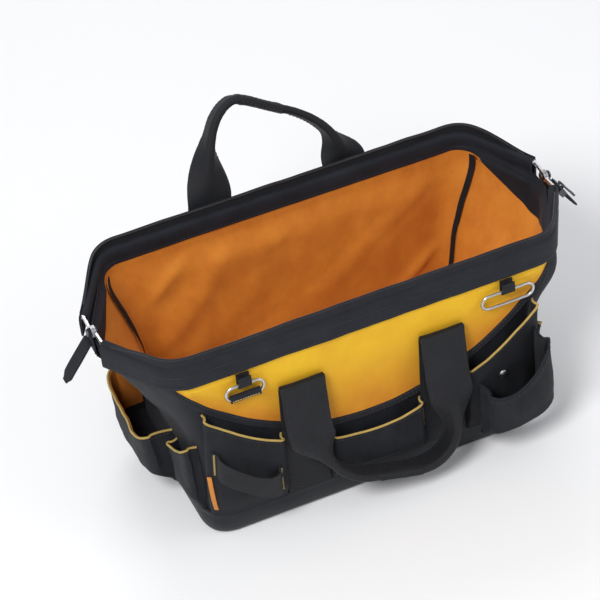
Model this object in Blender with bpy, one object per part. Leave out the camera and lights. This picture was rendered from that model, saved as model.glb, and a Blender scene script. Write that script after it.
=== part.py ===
"""A soft wide-mouth tool bag: a reinforced base, a fabric body with a lining, pockets with piped edges,
two steel rim halves that hinge on end rivets, two webbing handles, two wire rings and a zip end.

The bag stands on Z = 0 with its length along X and its front towards -Y. All sizes are in metres.
"""

import math

import bmesh
import bpy
from mathutils import Vector

# Clearances
GAP = 0.0003  # between pieces that touch
HINGE_CLEARANCE = 0.0003  # round each rivet

# Base
BASE_LENGTH = 0.390
BASE_DEPTH = 0.214
BASE_CORNER = 0.034  # how far a corner's rounding reaches along each side
BOOT_HEIGHT = 0.030
BOOT_WALL = 0.002
BOOT_FLOOR = 0.003
BOARD_THICKNESS = 0.004
BOARD_INSET = 0.004

# Body
SHELL_WALL = 0.003
SHELL_FLOOR = 0.0025
LINING_WALL = 0.0012
LINING_FLOOR = 0.0012
MOUTH_CORNER_HALF_LENGTH = 0.2135
MOUTH_END_BULGE = 0.0515  # how far each end reaches past its two corners at the mouth
MOUTH_END_HALF_WIDTH = 0.022  # of the flat stretch at each end
END_CORNER = 0.014  # how far the rounding of the end's corners reaches

# Rim halves
ROD_RADIUS = 0.0025
ROD_HALF_SPAN = 0.1025  # from the bag's middle plane to each bar
ROD_BEND = 0.022
BAR_HEIGHT = 0.250
PIN_HEIGHT = 0.242
FRONT_EYE_X = 0.2591
EYE_RADIUS = 0.0068
EYE_THICKNESS = 0.0022
EYE_TO_ROD = 0.022  # the flattened stretch between each eye and the round rod
PIN_RADIUS = 0.0020
PIN_HEAD_RADIUS = 0.0044
PIN_HEAD_THICKNESS = 0.0020
BAND_THICKNESS = 0.003
BAND_BELOW_ROD = 0.028
BAND_ABOVE_ROD = 0.002
BAND_END_Y = 0.016
TAPE_THICKNESS = 0.002
TAPE_HEIGHT = 0.0117
TAPE_END_Y = 0.086
TAB_THICKNESS = 0.0017
TAB_HALF_WIDTH = 0.012
TAB_NECK_HALF_WIDTH = 0.005
TAB_SHOULDER_DROP = 0.0045  # from the pin down to the tab's wide part

# Coloured panels and the curved line that their lower edges follow
PANEL_THICKNESS = 0.0015
PANEL_END_INSET = 0.005  # from the end of the base
CURVE_LOW = 0.104
CURVE_RISE = 0.092
CURVE_END_INSET = 0.002  # from the end of the base
CURVE_STEPS = 14

# Pockets
POCKET_WALL = 0.002
POCKET_FLOOR = 0.002
POCKET_CORNER = 0.006
POCKET_DEPTH = 0.012
POCKET_BELOW_CURVE = 0.016
POCKET_END_INSET = 0.006  # from the end of the base
OUTER_POCKET_DEPTH = 0.030
OUTER_POCKET_INSET = 0.012  # from the inner end of the pocket behind it
OUTER_POCKET_BELOW_CURVE = 0.044
OUTER_POCKET_CORNER = 0.016
END_POCKET_DEPTH = 0.036
END_POCKET_FRONT_Y = -0.036
END_POCKET_REAR_Y = 0.088
END_POCKET_TOP = 0.106
END_POCKET_SAG = 0.012
END_POCKET_CORNER = 0.022
SIDE_POCKET_DEPTH = 0.014
SIDE_POCKET_FRONT_Y = -0.088
SIDE_POCKET_REAR_Y = -0.040
SIDE_POCKET_TOP = 0.121
SIDE_POCKET_FALL = 0.026
PIPING_RADIUS = 0.0015
PIPING_TAIL = 0.0006  # between a piping's ends and the wall behind them

# Tool loops on the front
LOOP_END_INSET = 0.006  # from both ends of the pocket behind them
LOOP_COUNT = 1
LOOP_SWELL = 0.015
TACK_WIDTH = 0.004
LOOP_THICKNESS = 0.002
LOOP_TOP_BELOW_CURVE = 0.053
LOOP_BOTTOM_BELOW_CURVE = 0.086
LOOP_STEPS = 8

# Corner strip
STRIP_WIDTH = 0.005
STRIP_THICKNESS = 0.0015
STRIP_LOW = 0.044
STRIP_HIGH = 0.096
STRIP_INSET = 0.0095  # from the pocket's outer end to the middle of the strip

# Handles
HANDLE_HALF_SPACING = 0.080
WEBBING_WIDTH = 0.050
WEBBING_THICKNESS = 0.003
ANCHOR_THICKNESS = 0.002
FOLD_HEIGHT = 0.181
FOLD_RADIUS = 0.0036
HANDLE_REACH = 0.154  # from the fold line to the middle of the grip
GRIP_WIDTH = 0.010  # of the webbing once its edges are folded together
GRIP_HALF_LENGTH = 0.026
GRIP_SLEEVE_WALL = 0.0012
GRIP_SLEEVE_CORNER = 0.003
FRONT_HANDLE_LEAN = math.radians(9)
REAR_HANDLE_LEAN = math.radians(6)
REAR_HANDLE_BEND = math.radians(32)
REAR_HANDLE_BEND_START = 0.082

# Wire rings under the front rim
RING_WIRE_RADIUS = 0.0016
RING_HEIGHT = 0.017
RING_CORNER = 0.007
RING_PIVOT_HEIGHT = 0.207
LEFT_RING_INSET = 0.048  # from the end of the panel to the middle of the ring
LEFT_RING_LENGTH = 0.042
RIGHT_RING_INSET = 0.032
RIGHT_RING_LENGTH = 0.060
KEEPER_WIDTH = 0.014
KEEPER_THICKNESS = 0.0015
KEEPER_LEAF = 0.011

# Zip ends, slider and pull
TAIL_WIDTH = 0.018
TAIL_THICKNESS = 0.003
TAIL_ROOT_DROP = 0.010
TAIL_LENGTH = 0.052
TAIL_DROOP = math.radians(54)
TAIL_TIP_WIDTH = 0.008
TAIL_TIP_LENGTH = 0.008
SLIDER_LENGTH = 0.011
SLIDER_WALL = 0.0018
SLIDER_FROM_ROOT = 0.008
PULL_WIDTH = 0.008
PULL_LENGTH = 0.026
PULL_THICKNESS = 0.002
PULL_FOLD_RADIUS = 0.0018

# Shares and counts
CORNER_REACH_SHARE = 0.48  # of a side, the most that one corner's rounding may take
LEAST_MITRE_SHARE = 0.5
PIN_HEAD_EDGE_SHARE = 0.7
HANDLE_STRAIGHT_SHARE = 0.42
LEAF_TAPER_SHARE = 1.8
TAIL_ROOT_TURN_SHARE = 0.4
CORNER_STEPS = 4
BEND_STEPS = 6
FOLD_STEPS = 8
FOLD_ROWS = 7
HANDLE_STEPS = 8
ROD_SIDES = 10
DISC_SIDES = 20
RIVET_SIDES = 16
TOP_EDGE_PIECES = 6

# Worked out from the sizes above
SHELL_HALF_LENGTH = BASE_LENGTH / 2 - BOOT_WALL - GAP
SHELL_HALF_DEPTH = BASE_DEPTH / 2 - BOOT_WALL - GAP
SHELL_BOTTOM = BOOT_FLOOR + GAP
BOARD_BOTTOM = SHELL_BOTTOM + SHELL_FLOOR + GAP
LINING_BOTTOM = BOARD_BOTTOM + BOARD_THICKNESS + GAP
SHELL_TOP_BELOW_ROD = BAND_BELOW_ROD + 2 * GAP
BODY_TOP = BAR_HEIGHT - SHELL_TOP_BELOW_ROD
BODY_END_TOP = PIN_HEIGHT - SHELL_TOP_BELOW_ROD
PANEL_FACE = SHELL_HALF_DEPTH + GAP + PANEL_THICKNESS
POCKET_SEAT = PANEL_FACE + GAP
POCKET_BOTTOM = BOOT_HEIGHT + GAP
REAR_EYE_X = FRONT_EYE_X + EYE_THICKNESS + GAP
TAB_X = REAR_EYE_X + EYE_THICKNESS / 2 + GAP
FOLD_Y = POCKET_SEAT + ANCHOR_THICKNESS + GAP + FOLD_RADIUS
ANCHOR_HALF_SPAN = WEBBING_WIDTH / 2
GRIP_DEPTH = WEBBING_THICKNESS + (WEBBING_WIDTH - GRIP_WIDTH) / 2
POCKET_INNER_END = HANDLE_HALF_SPACING + ANCHOR_HALF_SPAN + 3 * GAP
CENTRE_POCKET_END = HANDLE_HALF_SPACING - ANCHOR_HALF_SPAN - 3 * GAP
PANEL_HALF_LENGTH = BASE_LENGTH / 2 - PANEL_END_INSET
CURVE_HALF_LENGTH = BASE_LENGTH / 2 - CURVE_END_INSET
LEFT_RING_X = LEFT_RING_INSET - PANEL_HALF_LENGTH
RIGHT_RING_X = PANEL_HALF_LENGTH - RIGHT_RING_INSET
POCKET_OUTER_END = BASE_LENGTH / 2 - POCKET_END_INSET
OUTER_POCKET_INNER_END = POCKET_INNER_END + OUTER_POCKET_INSET
LOOP_OUTER_END = POCKET_OUTER_END - LOOP_END_INSET
LOOP_INNER_END = POCKET_INNER_END + LOOP_END_INSET
STRIP_X = POCKET_OUTER_END - STRIP_INSET

# How the body widens from base to mouth: height share, corner length share, end bulge share
BODY_ROWS_SHARES = (
    (0.00, 0.00, 0.00),
    (0.13, 0.00, 0.00),
    (0.40, 0.12, 0.08),
    (0.60, 0.26, 0.18),
    (0.78, 0.52, 0.42),
    (0.90, 0.78, 0.72),
    (1.00, 1.00, 1.00),
)

MATERIALS = {
    "black_fabric": ((0.022, 0.023, 0.028), 0.85, 0.0),
    "base_fabric": ((0.016, 0.017, 0.021), 0.75, 0.0),
    "yellow_fabric": ((0.82, 0.42, 0.03), 0.80, 0.0),
    "orange_lining": ((0.62, 0.19, 0.03), 0.80, 0.0),
    "webbing": ((0.018, 0.018, 0.022), 0.80, 0.0),
    "piping": ((0.52, 0.38, 0.13), 0.70, 0.0),
    "zip_tape": ((0.030, 0.031, 0.037), 0.80, 0.0),
    "steel": ((0.55, 0.55, 0.57), 0.35, 1.0),
    "dark_metal": ((0.10, 0.10, 0.11), 0.40, 1.0),
    "board": ((0.03, 0.03, 0.03), 0.60, 0.0),
}


def clear_scene():
    for obj in list(bpy.data.objects):
        bpy.data.objects.remove(obj, do_unlink=True)


def material(name):
    found = bpy.data.materials.get(name)
    if found:
        return found
    colour, roughness, metallic = MATERIALS[name]
    made = bpy.data.materials.new(name)
    made.use_nodes = True
    shader = made.node_tree.nodes["Principled BSDF"]
    shader.inputs["Base Color"].default_value = (*colour, 1.0)
    shader.inputs["Roughness"].default_value = roughness
    shader.inputs["Metallic"].default_value = metallic
    made.diffuse_color = (*colour, 1.0)
    return made


def solid(name, points, faces, look, origin=(0, 0, 0)):
    """One closed mesh object, its normals facing out and its origin where a joint needs it."""
    mesh = bpy.data.meshes.new(name)
    at = Vector(origin)
    mesh.from_pydata([Vector(p) - at for p in points], [], faces)
    shape = bmesh.new()
    shape.from_mesh(mesh)
    bmesh.ops.recalc_face_normals(shape, faces=shape.faces)
    shape.to_mesh(mesh)
    shape.free()
    obj = bpy.data.objects.new(name, mesh)
    obj.location = at
    mesh.materials.append(material(look))
    bpy.context.scene.collection.objects.link(obj)
    return obj


def flat(x, y, z):
    """The plain place: a plan path with its third number as the height."""
    return (x, y, z)


def rounded(corners, reaches, steps=CORNER_STEPS):
    """A closed plan outline whose corners are curves that start this far from each corner."""
    count = len(corners)
    found = []
    for i, corner in enumerate(corners):
        here = Vector(corner)
        before = Vector(corners[i - 1]) - here
        after = Vector(corners[(i + 1) % count]) - here
        start = here + before.normalized() * min(reaches[i], before.length * CORNER_REACH_SHARE)
        end = here + after.normalized() * min(reaches[i], after.length * CORNER_REACH_SHARE)
        for k in range(steps + 1):
            t = k / steps
            found.append(start * (1 - t) ** 2 + here * (2 * t * (1 - t)) + end * t**2)
    return found


def body_outline(half_length, half_depth, bulge, reach, inset=0.0):
    """The plan of the bag at one height: four rounded corners, and ends that stand out to a flat stretch."""
    end, flat_part = half_length + bulge, MOUTH_END_HALF_WIDTH
    right = [(half_length, -half_depth), (end, -flat_part), (end, flat_part), (half_length, half_depth)]
    corners = offsets(right + [(-x, -y) for x, y in right], -inset, closed=True)
    corner = max(reach - inset, inset)
    return rounded(corners, (corner, END_CORNER, END_CORNER, corner) * 2)


def cup(name, rows_out, rows_in, look):
    """A closed solid with an open top, from rings of points that run up outside and down inside."""
    rings = rows_out + rows_in[::-1]
    count = len(rings[0])
    points = [p for ring in rings for p in ring]
    faces = [list(range(count))[::-1]]
    for r in range(len(rings) - 1):
        for i in range(count):
            j = (i + 1) % count
            a, b, c, d = r * count + i, r * count + j, (r + 1) * count + j, (r + 1) * count + i
            # Each twisted face is halved the same way on both sides of the wall, so that cups nest.
            if r < len(rows_out):
                faces += [[a, b, c], [a, c, d]]
            else:
                faces += [[a, b, d], [b, c, d]]
    last = (len(rings) - 1) * count
    faces.append([last + i for i in range(count)])
    return solid(name, points, faces, look)


def rod_height(y):
    """The height of a rim rod over this place: level along the bar, falling along the legs to the pins."""
    return PIN_HEIGHT + (BAR_HEIGHT - PIN_HEIGHT) * min(abs(y) / ROD_HALF_SPAN, 1)


def body_size(share):
    """Corner half length and end bulge at this share of the body's height."""
    for (low, a, b), (high, c, d) in zip(BODY_ROWS_SHARES, BODY_ROWS_SHARES[1:]):
        if share <= high:
            t = (share - low) / (high - low)
            grown, bulged = a + (c - a) * t, b + (d - b) * t
            break
    length = SHELL_HALF_LENGTH + (MOUTH_CORNER_HALF_LENGTH - SHELL_HALF_LENGTH) * grown
    return length, MOUTH_END_BULGE * bulged


def body_ring(share, inset):
    """One ring of the body's wall, its top ring following the rim rods."""
    length, bulge = body_size(share)
    found = []
    for p in body_outline(length, SHELL_HALF_DEPTH, bulge, BASE_CORNER, inset):
        top = rod_height(p.y) - SHELL_TOP_BELOW_ROD
        found.append((p.x, p.y, SHELL_BOTTOM + (top - SHELL_BOTTOM) * share))
    return found


def body_cup(name, bottom, floor, inset, wall, look):
    """The fabric body or its lining: the same rings, more or less far in, each with its own floor."""
    rows_out, rows_in = [
        [body_ring(row[0], distance) for row in BODY_ROWS_SHARES] for distance in (inset, inset + wall)
    ]
    rows_out[0] = [(x, y, bottom) for x, y, _ in rows_out[0]]
    rows_in[0] = [(x, y, bottom + floor) for x, y, _ in rows_in[0]]
    return cup(name, rows_out, rows_in, look)


def end_face(y, z):
    """How far from the middle the body's end wall is at this height and depth."""
    share = (z - SHELL_BOTTOM) / (BODY_END_TOP - SHELL_BOTTOM)
    length, bulge = body_size(min(max(share, 0), 1))
    sloped = (SHELL_HALF_DEPTH - abs(y)) / (SHELL_HALF_DEPTH - MOUTH_END_HALF_WIDTH)
    return length + bulge * min(sloped, 1)


def curve_height(x):
    """The smile-shaped line that the front's edges follow."""
    return CURVE_LOW + CURVE_RISE * (x / CURVE_HALF_LENGTH) ** 2


def strip(name, rows, look, origin=(0, 0, 0)):
    """A closed solid lofted through rows of the same number of points, with both ends filled."""
    count = len(rows[0])
    points = [p for row in rows for p in row]
    faces = [list(range(count)), [(len(rows) - 1) * count + i for i in range(count)][::-1]]
    for r in range(len(rows) - 1):
        for i in range(count):
            j = (i + 1) % count
            faces.append([r * count + i, (r + 1) * count + i, (r + 1) * count + j, r * count + j])
    return solid(name, points, faces, look, origin)


def offsets(path, amount, closed=False):
    """The path moved sideways by this amount, to the right of its direction."""
    points = [Vector(p) for p in path]
    found = []
    for i, here in enumerate(points):
        before = points[i - 1] if i or closed else here
        after = points[(i + 1) % len(points)] if i + 1 < len(points) or closed else here
        first = (here - before).normalized() if before is not here else (after - here).normalized()
        second = (after - here).normalized() if after is not here else first
        side = (first + second).normalized()
        stretch = 1 / max(side.dot(first), LEAST_MITRE_SHARE)
        found.append(here + Vector((side.y, -side.x)) * amount * stretch)
    return found


def ribbon(name, path, thickness, low, high, look, place=flat):
    """A strip of fabric on edge: a plan path given a thickness, standing from low to high."""
    right, left = offsets(path, thickness / 2), offsets(path, -thickness / 2)
    rows = []
    for i in range(len(path)):
        bottom = low[i] if isinstance(low, list) else low
        top = high[i] if isinstance(high, list) else high
        a, b = right[i], left[i]
        rows.append([place(*a, bottom), place(*a, top), place(*b, top), place(*b, bottom)])
    return strip(name, rows, look)


def tube(name, points, radius, look, closed=False, sides=1, origin=(0, 0, 0)):
    """A round cord or wire along these points."""
    curve = bpy.data.curves.new(name, "CURVE")
    curve.dimensions = "3D"
    curve.bevel_depth = radius
    curve.bevel_resolution = sides
    curve.use_fill_caps = True
    line = curve.splines.new("POLY")
    line.points.add(len(points) - 1)
    for point, at in zip(line.points, points):
        point.co = (*(Vector(at) - Vector(origin)), 1)
    line.use_cyclic_u = closed
    curve.materials.append(material(look))
    obj = bpy.data.objects.new(name, curve)
    obj.location = origin
    bpy.context.scene.collection.objects.link(obj)
    return obj


def disc(name, radius, thickness, centre, look, segments=DISC_SIDES):
    """A short cylinder along X."""
    shape = bmesh.new()
    bmesh.ops.create_cone(
        shape, cap_ends=True, segments=segments, radius1=radius, radius2=radius, depth=thickness
    )
    mesh = bpy.data.meshes.new(name)
    shape.to_mesh(mesh)
    shape.free()
    mesh.materials.append(material(look))
    obj = bpy.data.objects.new(name, mesh)
    obj.rotation_euler = (0, math.pi / 2, 0)
    obj.location = centre
    bpy.context.scene.collection.objects.link(obj)
    return obj


def as_cutter(obj):
    obj.hide_render = True
    obj.display_type = "WIRE"
    return obj


def cut(obj, tool, operation="DIFFERENCE"):
    modifier = obj.modifiers.new(operation.title(), "BOOLEAN")
    modifier.operation = operation
    modifier.object = as_cutter(tool)
    modifier.solver = "EXACT"


def build_base():
    half_length, half_depth = BASE_LENGTH / 2, BASE_DEPTH / 2
    outer = rounded(rectangle(half_length, half_depth), [BASE_CORNER] * 4)
    inner = rounded(
        rectangle(half_length - BOOT_WALL, half_depth - BOOT_WALL), [BASE_CORNER - BOOT_WALL] * 4
    )
    rows_out = [[(p.x, p.y, z) for p in outer] for z in (0, BOOT_HEIGHT)]
    rows_in = [[(p.x, p.y, z) for p in inner] for z in (BOOT_FLOOR, BOOT_HEIGHT)]
    cup("base_boot", rows_out, rows_in, "base_fabric")
    length = SHELL_HALF_LENGTH - SHELL_WALL - BOARD_INSET
    depth = SHELL_HALF_DEPTH - SHELL_WALL - BOARD_INSET
    board = rounded(rectangle(length, depth), [BASE_CORNER] * 4)
    rows = [[(p.x, p.y, z) for p in board] for z in (BOARD_BOTTOM, BOARD_BOTTOM + BOARD_THICKNESS)]
    strip("base_board", rows, "board")


def rectangle(half_length, half_depth):
    corners = ((-1, -1), (1, -1), (1, 1), (-1, 1))
    return [(x * half_length, y * half_depth) for x, y in corners]


def build_body():
    body_cup("outer_shell", SHELL_BOTTOM, SHELL_FLOOR, 0.0, SHELL_WALL, "black_fabric")
    body_cup("lining", LINING_BOTTOM, LINING_FLOOR, SHELL_WALL + GAP, LINING_WALL, "orange_lining")


def build_panel(name, side):
    """The coloured upper panel of the front (side -1) or the rear (side 1)."""
    xs = [-PANEL_HALF_LENGTH + 2 * PANEL_HALF_LENGTH * i / CURVE_STEPS for i in range(CURVE_STEPS + 1)]
    near, far = side * (SHELL_HALF_DEPTH + GAP), side * PANEL_FACE
    rows = []
    for x in xs:
        low = curve_height(x)
        rows.append([(x, near, low), (x, far, low), (x, far, BODY_TOP), (x, near, BODY_TOP)])
    strip(name, rows, "yellow_fabric")


def pouch(name, start, end, bottom, top, depth, corner, place, look="black_fabric"):
    """An open-topped pocket with no back: its front and sides stand out from the wall behind it.
    place turns distance along the wall, distance out from it and height into a point."""
    plan = [(start, 0)]
    for middle, before, after in (((start, depth), (0, -1), (1, 0)), ((end, depth), (-1, 0), (0, -1))):
        centre = Vector(middle)
        a = centre + Vector(before) * corner
        b = centre + Vector(after) * corner
        for k in range(CORNER_STEPS + 1):
            t = k / CORNER_STEPS
            plan.append(a * (1 - t) ** 2 + centre * (2 * t * (1 - t)) + b * t**2)
    plan.append((end, 0))
    plan = spread(plan)
    inner = offsets(plan, POCKET_WALL)
    inner[0].y = inner[-1].y = 0
    count = len(plan)
    floor = bottom + POCKET_FLOOR
    points = [place(*p, bottom) for p in plan]
    points += [place(*p, top(p[0])) for p in plan]
    points += [place(*q, top(p[0])) for p, q in zip(plan, inner)]
    points += [place(*p, floor) for p in inner]
    outer_low, outer_top, inner_top, inner_low = (k * count for k in range(4))
    faces = []
    for i in range(count - 1):
        for a, b in ((outer_low, outer_top), (outer_top, inner_top), (inner_top, inner_low)):
            faces.append([a + i, a + i + 1, b + i + 1, b + i])
    for i in (0, count - 1):
        faces.append([outer_low + i, outer_top + i, inner_top + i, inner_low + i])
    faces.append([outer_low, outer_low + count - 1, inner_low + count - 1, inner_low])
    faces.append([outer_low + i for i in range(count)])
    faces.append([inner_low + i for i in range(count)])
    solid(name, points, faces, look)
    return plan


def spread(plan, pieces=TOP_EDGE_PIECES):
    """The plan with its longest stretch divided, so that a curved top edge can follow it."""
    points = [Vector(p) for p in plan]
    lengths = [(b - a).length for a, b in zip(points, points[1:])]
    longest = lengths.index(max(lengths))
    a, b = points[longest], points[longest + 1]
    extra = [a.lerp(b, k / pieces) for k in range(1, pieces)]
    return points[: longest + 1] + extra + points[longest + 1 :]


def steepest(plan, top, i):
    """The steepest slope of the top edge next to this point, along the inside of the wall."""
    inner = offsets(plan, POCKET_WALL)
    slopes = [0.0]
    for j in (i, i + 1):
        if 0 < j < len(plan):
            slopes.append(abs(top(plan[j].x) - top(plan[j - 1].x)) / (inner[j] - inner[j - 1]).length)
    return max(slopes)


def piping(name, plan, top, place):
    """The round binding that lies along a pocket's top edge, clear of it also where it slopes."""
    middle = offsets(plan, POCKET_WALL / 2)
    middle[0].y = middle[-1].y = PIPING_RADIUS + PIPING_TAIL
    points = []
    for i, p in enumerate(middle):
        lift = (PIPING_RADIUS + GAP) * math.hypot(1, steepest(plan, top, i))
        points.append(place(*p, top(plan[i].x) + lift))
    tube(name, points, PIPING_RADIUS, "piping")


def front_place(u, out, z):
    return (u, -POCKET_SEAT - out, z)


def rear_place(u, out, z):
    return (u, POCKET_SEAT + out, z)


def end_place(side):
    def place(y, out, z):
        return (side * (end_face(y, z) + GAP + out), y, z)

    return place


def build_wall_pockets(prefix, place):
    """The three flat pockets of the front or the rear, below the curved line."""

    def top(x):
        return curve_height(x) - POCKET_BELOW_CURVE

    for name, start, end in (
        ("left", -POCKET_OUTER_END, -POCKET_INNER_END),
        ("centre", -CENTRE_POCKET_END, CENTRE_POCKET_END),
        ("right", POCKET_INNER_END, POCKET_OUTER_END),
    ):
        label = f"{prefix}_{name}"
        sizes = (POCKET_BOTTOM, top, POCKET_DEPTH, POCKET_CORNER)
        plan = pouch(f"{label}_pocket", start, end, *sizes, place)
        piping(f"{label}_piping", plan, top, place)


def build_outer_pocket():
    """The deep pocket in front of the flat one, at the front's right."""

    def place(u, out, z):
        return front_place(u, POCKET_DEPTH + GAP + out, z)

    def top(x):
        return curve_height(x) - OUTER_POCKET_BELOW_CURVE

    plan = pouch(
        "front_outer_pocket",
        OUTER_POCKET_INNER_END,
        POCKET_OUTER_END - POCKET_CORNER,
        POCKET_BOTTOM,
        top,
        OUTER_POCKET_DEPTH,
        OUTER_POCKET_CORNER,
        place,
    )
    piping("front_outer_piping", plan, top, place)


def build_end_pockets():
    width = END_POCKET_REAR_Y - END_POCKET_FRONT_Y
    middle = (END_POCKET_REAR_Y + END_POCKET_FRONT_Y) / 2

    def top(y):
        share = (y - middle) / (width / 2)
        return END_POCKET_TOP - END_POCKET_SAG * (1 - share**2)

    def side_top(y):
        share = (y - SIDE_POCKET_FRONT_Y) / (SIDE_POCKET_REAR_Y - SIDE_POCKET_FRONT_Y)
        return SIDE_POCKET_TOP - SIDE_POCKET_FALL * share

    for label, side in (("left", -1), ("right", 1)):
        place = end_place(side)
        plan = pouch(
            f"{label}_end_pocket",
            END_POCKET_FRONT_Y,
            END_POCKET_REAR_Y,
            POCKET_BOTTOM,
            top,
            END_POCKET_DEPTH,
            END_POCKET_CORNER,
            place,
        )
        piping(f"{label}_end_piping", plan, top, place)
        plan = pouch(
            f"{label}_side_pocket",
            SIDE_POCKET_FRONT_Y,
            SIDE_POCKET_REAR_Y,
            POCKET_BOTTOM,
            side_top,
            SIDE_POCKET_DEPTH,
            POCKET_CORNER,
            place,
        )
        piping(f"{label}_side_piping", plan, side_top, place)


def build_tool_loops():
    """A webbing band tacked to the left front pocket at its ends so that it stands out in a wide open loop."""
    pitch = (LOOP_OUTER_END - LOOP_INNER_END - TACK_WIDTH) / LOOP_COUNT
    wall = POCKET_SEAT + POCKET_DEPTH + GAP + LOOP_THICKNESS / 2
    path = [(-LOOP_OUTER_END, -wall)]
    for loop in range(LOOP_COUNT):
        start = -LOOP_OUTER_END + TACK_WIDTH + loop * pitch
        for k in range(LOOP_STEPS + 1):
            angle = math.pi * k / LOOP_STEPS
            across = (1 - math.cos(angle)) / 2
            path.append((start + (pitch - TACK_WIDTH) * across, -wall - LOOP_SWELL * math.sin(angle)))
    path.append((-LOOP_INNER_END, -wall))
    low = [curve_height(x) - LOOP_BOTTOM_BELOW_CURVE for x, _ in path]
    high = [curve_height(x) - LOOP_TOP_BELOW_CURVE for x, _ in path]
    ribbon("front_tool_loops", path, LOOP_THICKNESS, low, high, "webbing")


def build_corner_strip():
    """The coloured strip low on the front's left corner."""
    near = -POCKET_SEAT - POCKET_DEPTH - GAP
    left, right = -STRIP_X - STRIP_WIDTH / 2, -STRIP_X + STRIP_WIDTH / 2
    far = near - STRIP_THICKNESS
    heights = (STRIP_LOW, STRIP_HIGH)
    rows = [[(left, near, z), (right, near, z), (right, far, z), (left, far, z)] for z in heights]
    strip("left_corner_strip", rows, "orange_lining")


def leg_path(eye_x, side, shift=0.0):
    """The plan of one rim half, from its left eye round both bends to its right eye, moved out by shift."""
    bar, corner = ROD_HALF_SPAN, MOUTH_CORNER_HALF_LENGTH
    corners = [(-eye_x, -EYE_TO_ROD), (-corner, -bar), (corner, -bar), (eye_x, -EYE_TO_ROD)]
    points = [Vector(corners[0])]
    for i in (1, 2):
        here = Vector(corners[i])
        a = here + (Vector(corners[i - 1]) - here).normalized() * ROD_BEND
        b = here + (Vector(corners[i + 1]) - here).normalized() * ROD_BEND
        for k in range(BEND_STEPS + 1):
            t = k / BEND_STEPS
            points.append(a * (1 - t) ** 2 + here * (2 * t * (1 - t)) + b * t**2)
    points.append(Vector(corners[3]))
    moved = offsets(points, shift)
    return [Vector((p.x, p.y * -side)) for p in moved]


def trimmed(path, least):
    """The path cut back so that it starts and ends this far from the bag's middle plane."""
    found = [p.copy() for p in path]
    while abs(found[1].y) < least:
        found.pop(0)
    while abs(found[-2].y) < least:
        found.pop()
    for end, inside in ((0, 1), (-1, -2)):
        a, b = found[end], found[inside]
        t = (least - abs(a.y)) / (abs(b.y) - abs(a.y))
        found[end] = a.lerp(b, t)
    return found


def build_rim_half(label, side, eye_x):
    """A steel rod with two eyes, the fabric band hung outside it, and the zip tape over the band."""
    path = leg_path(eye_x, side)
    bend_rod(f"{label}_rim_rod", path, eye_x)
    to_band = ROD_RADIUS + GAP + BAND_THICKNESS / 2
    band_path = trimmed(leg_path(eye_x, side, to_band), BAND_END_Y)
    low = [rod_height(p.y) - BAND_BELOW_ROD for p in band_path]
    high = [rod_height(p.y) + BAND_ABOVE_ROD for p in band_path]
    ribbon(f"{label}_rim_band", band_path, BAND_THICKNESS, low, high, "black_fabric")
    tape_path = trimmed(leg_path(eye_x, side, to_band), TAPE_END_Y)
    low = [rod_height(p.y) + BAND_ABOVE_ROD + GAP for p in tape_path]
    high = [rod_height(p.y) + BAND_ABOVE_ROD + GAP + TAPE_HEIGHT for p in tape_path]
    ribbon(f"{label}_zip_tape", tape_path, TAPE_THICKNESS, low, high, "zip_tape")


def bend_rod(name, path, eye_x):
    """The rod is a round wire; its two flat eyes are joined on and bored for the rivets."""
    points = [(p.x, p.y, rod_height(p.y)) for p in path]
    rows = []
    for i, at in enumerate(points):
        here = Vector(at)
        before = Vector(points[max(i - 1, 0)])
        after = Vector(points[min(i + 1, len(points) - 1)])
        along = (after - before).normalized()
        across = along.cross(Vector((0, 0, 1))).normalized()
        up = across.cross(along)
        rows.append(
            [
                here + ROD_RADIUS * (across * math.cos(a) + up * math.sin(a))
                for a in (2 * math.pi * k / ROD_SIDES for k in range(ROD_SIDES))
            ]
        )
    rod = strip(name, rows, "steel", origin=(0, 0, PIN_HEIGHT))
    side = math.copysign(1, path[0].y)
    for end in (-1, 1):
        eye = disc(f"{name}_eye_{end}", EYE_RADIUS, EYE_THICKNESS, (end * eye_x, 0, PIN_HEIGHT), "steel")
        bore = disc(
            f"{name}_bore_{end}",
            PIN_RADIUS + HINGE_CLEARANCE,
            EYE_THICKNESS + 2 * HINGE_CLEARANCE,
            (end * eye_x, 0, PIN_HEIGHT),
            "steel",
        )
        cut(rod, neck(f"{name}_neck_{end}", side, end * eye_x), "UNION")
        cut(rod, eye, "UNION")
        cut(rod, bore)


def neck(name, side, x):
    """The flattened stretch between the round rod and its eye."""
    left, right = x - EYE_THICKNESS / 2, x + EYE_THICKNESS / 2
    rows = []
    for reach in (EYE_RADIUS - ROD_RADIUS, EYE_TO_ROD + ROD_RADIUS):
        y = side * reach
        low, high = rod_height(y) - ROD_RADIUS, rod_height(y) + ROD_RADIUS
        rows.append([(left, y, low), (right, y, low), (right, y, high), (left, y, high)])
    return strip(name, rows, "steel")


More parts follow.
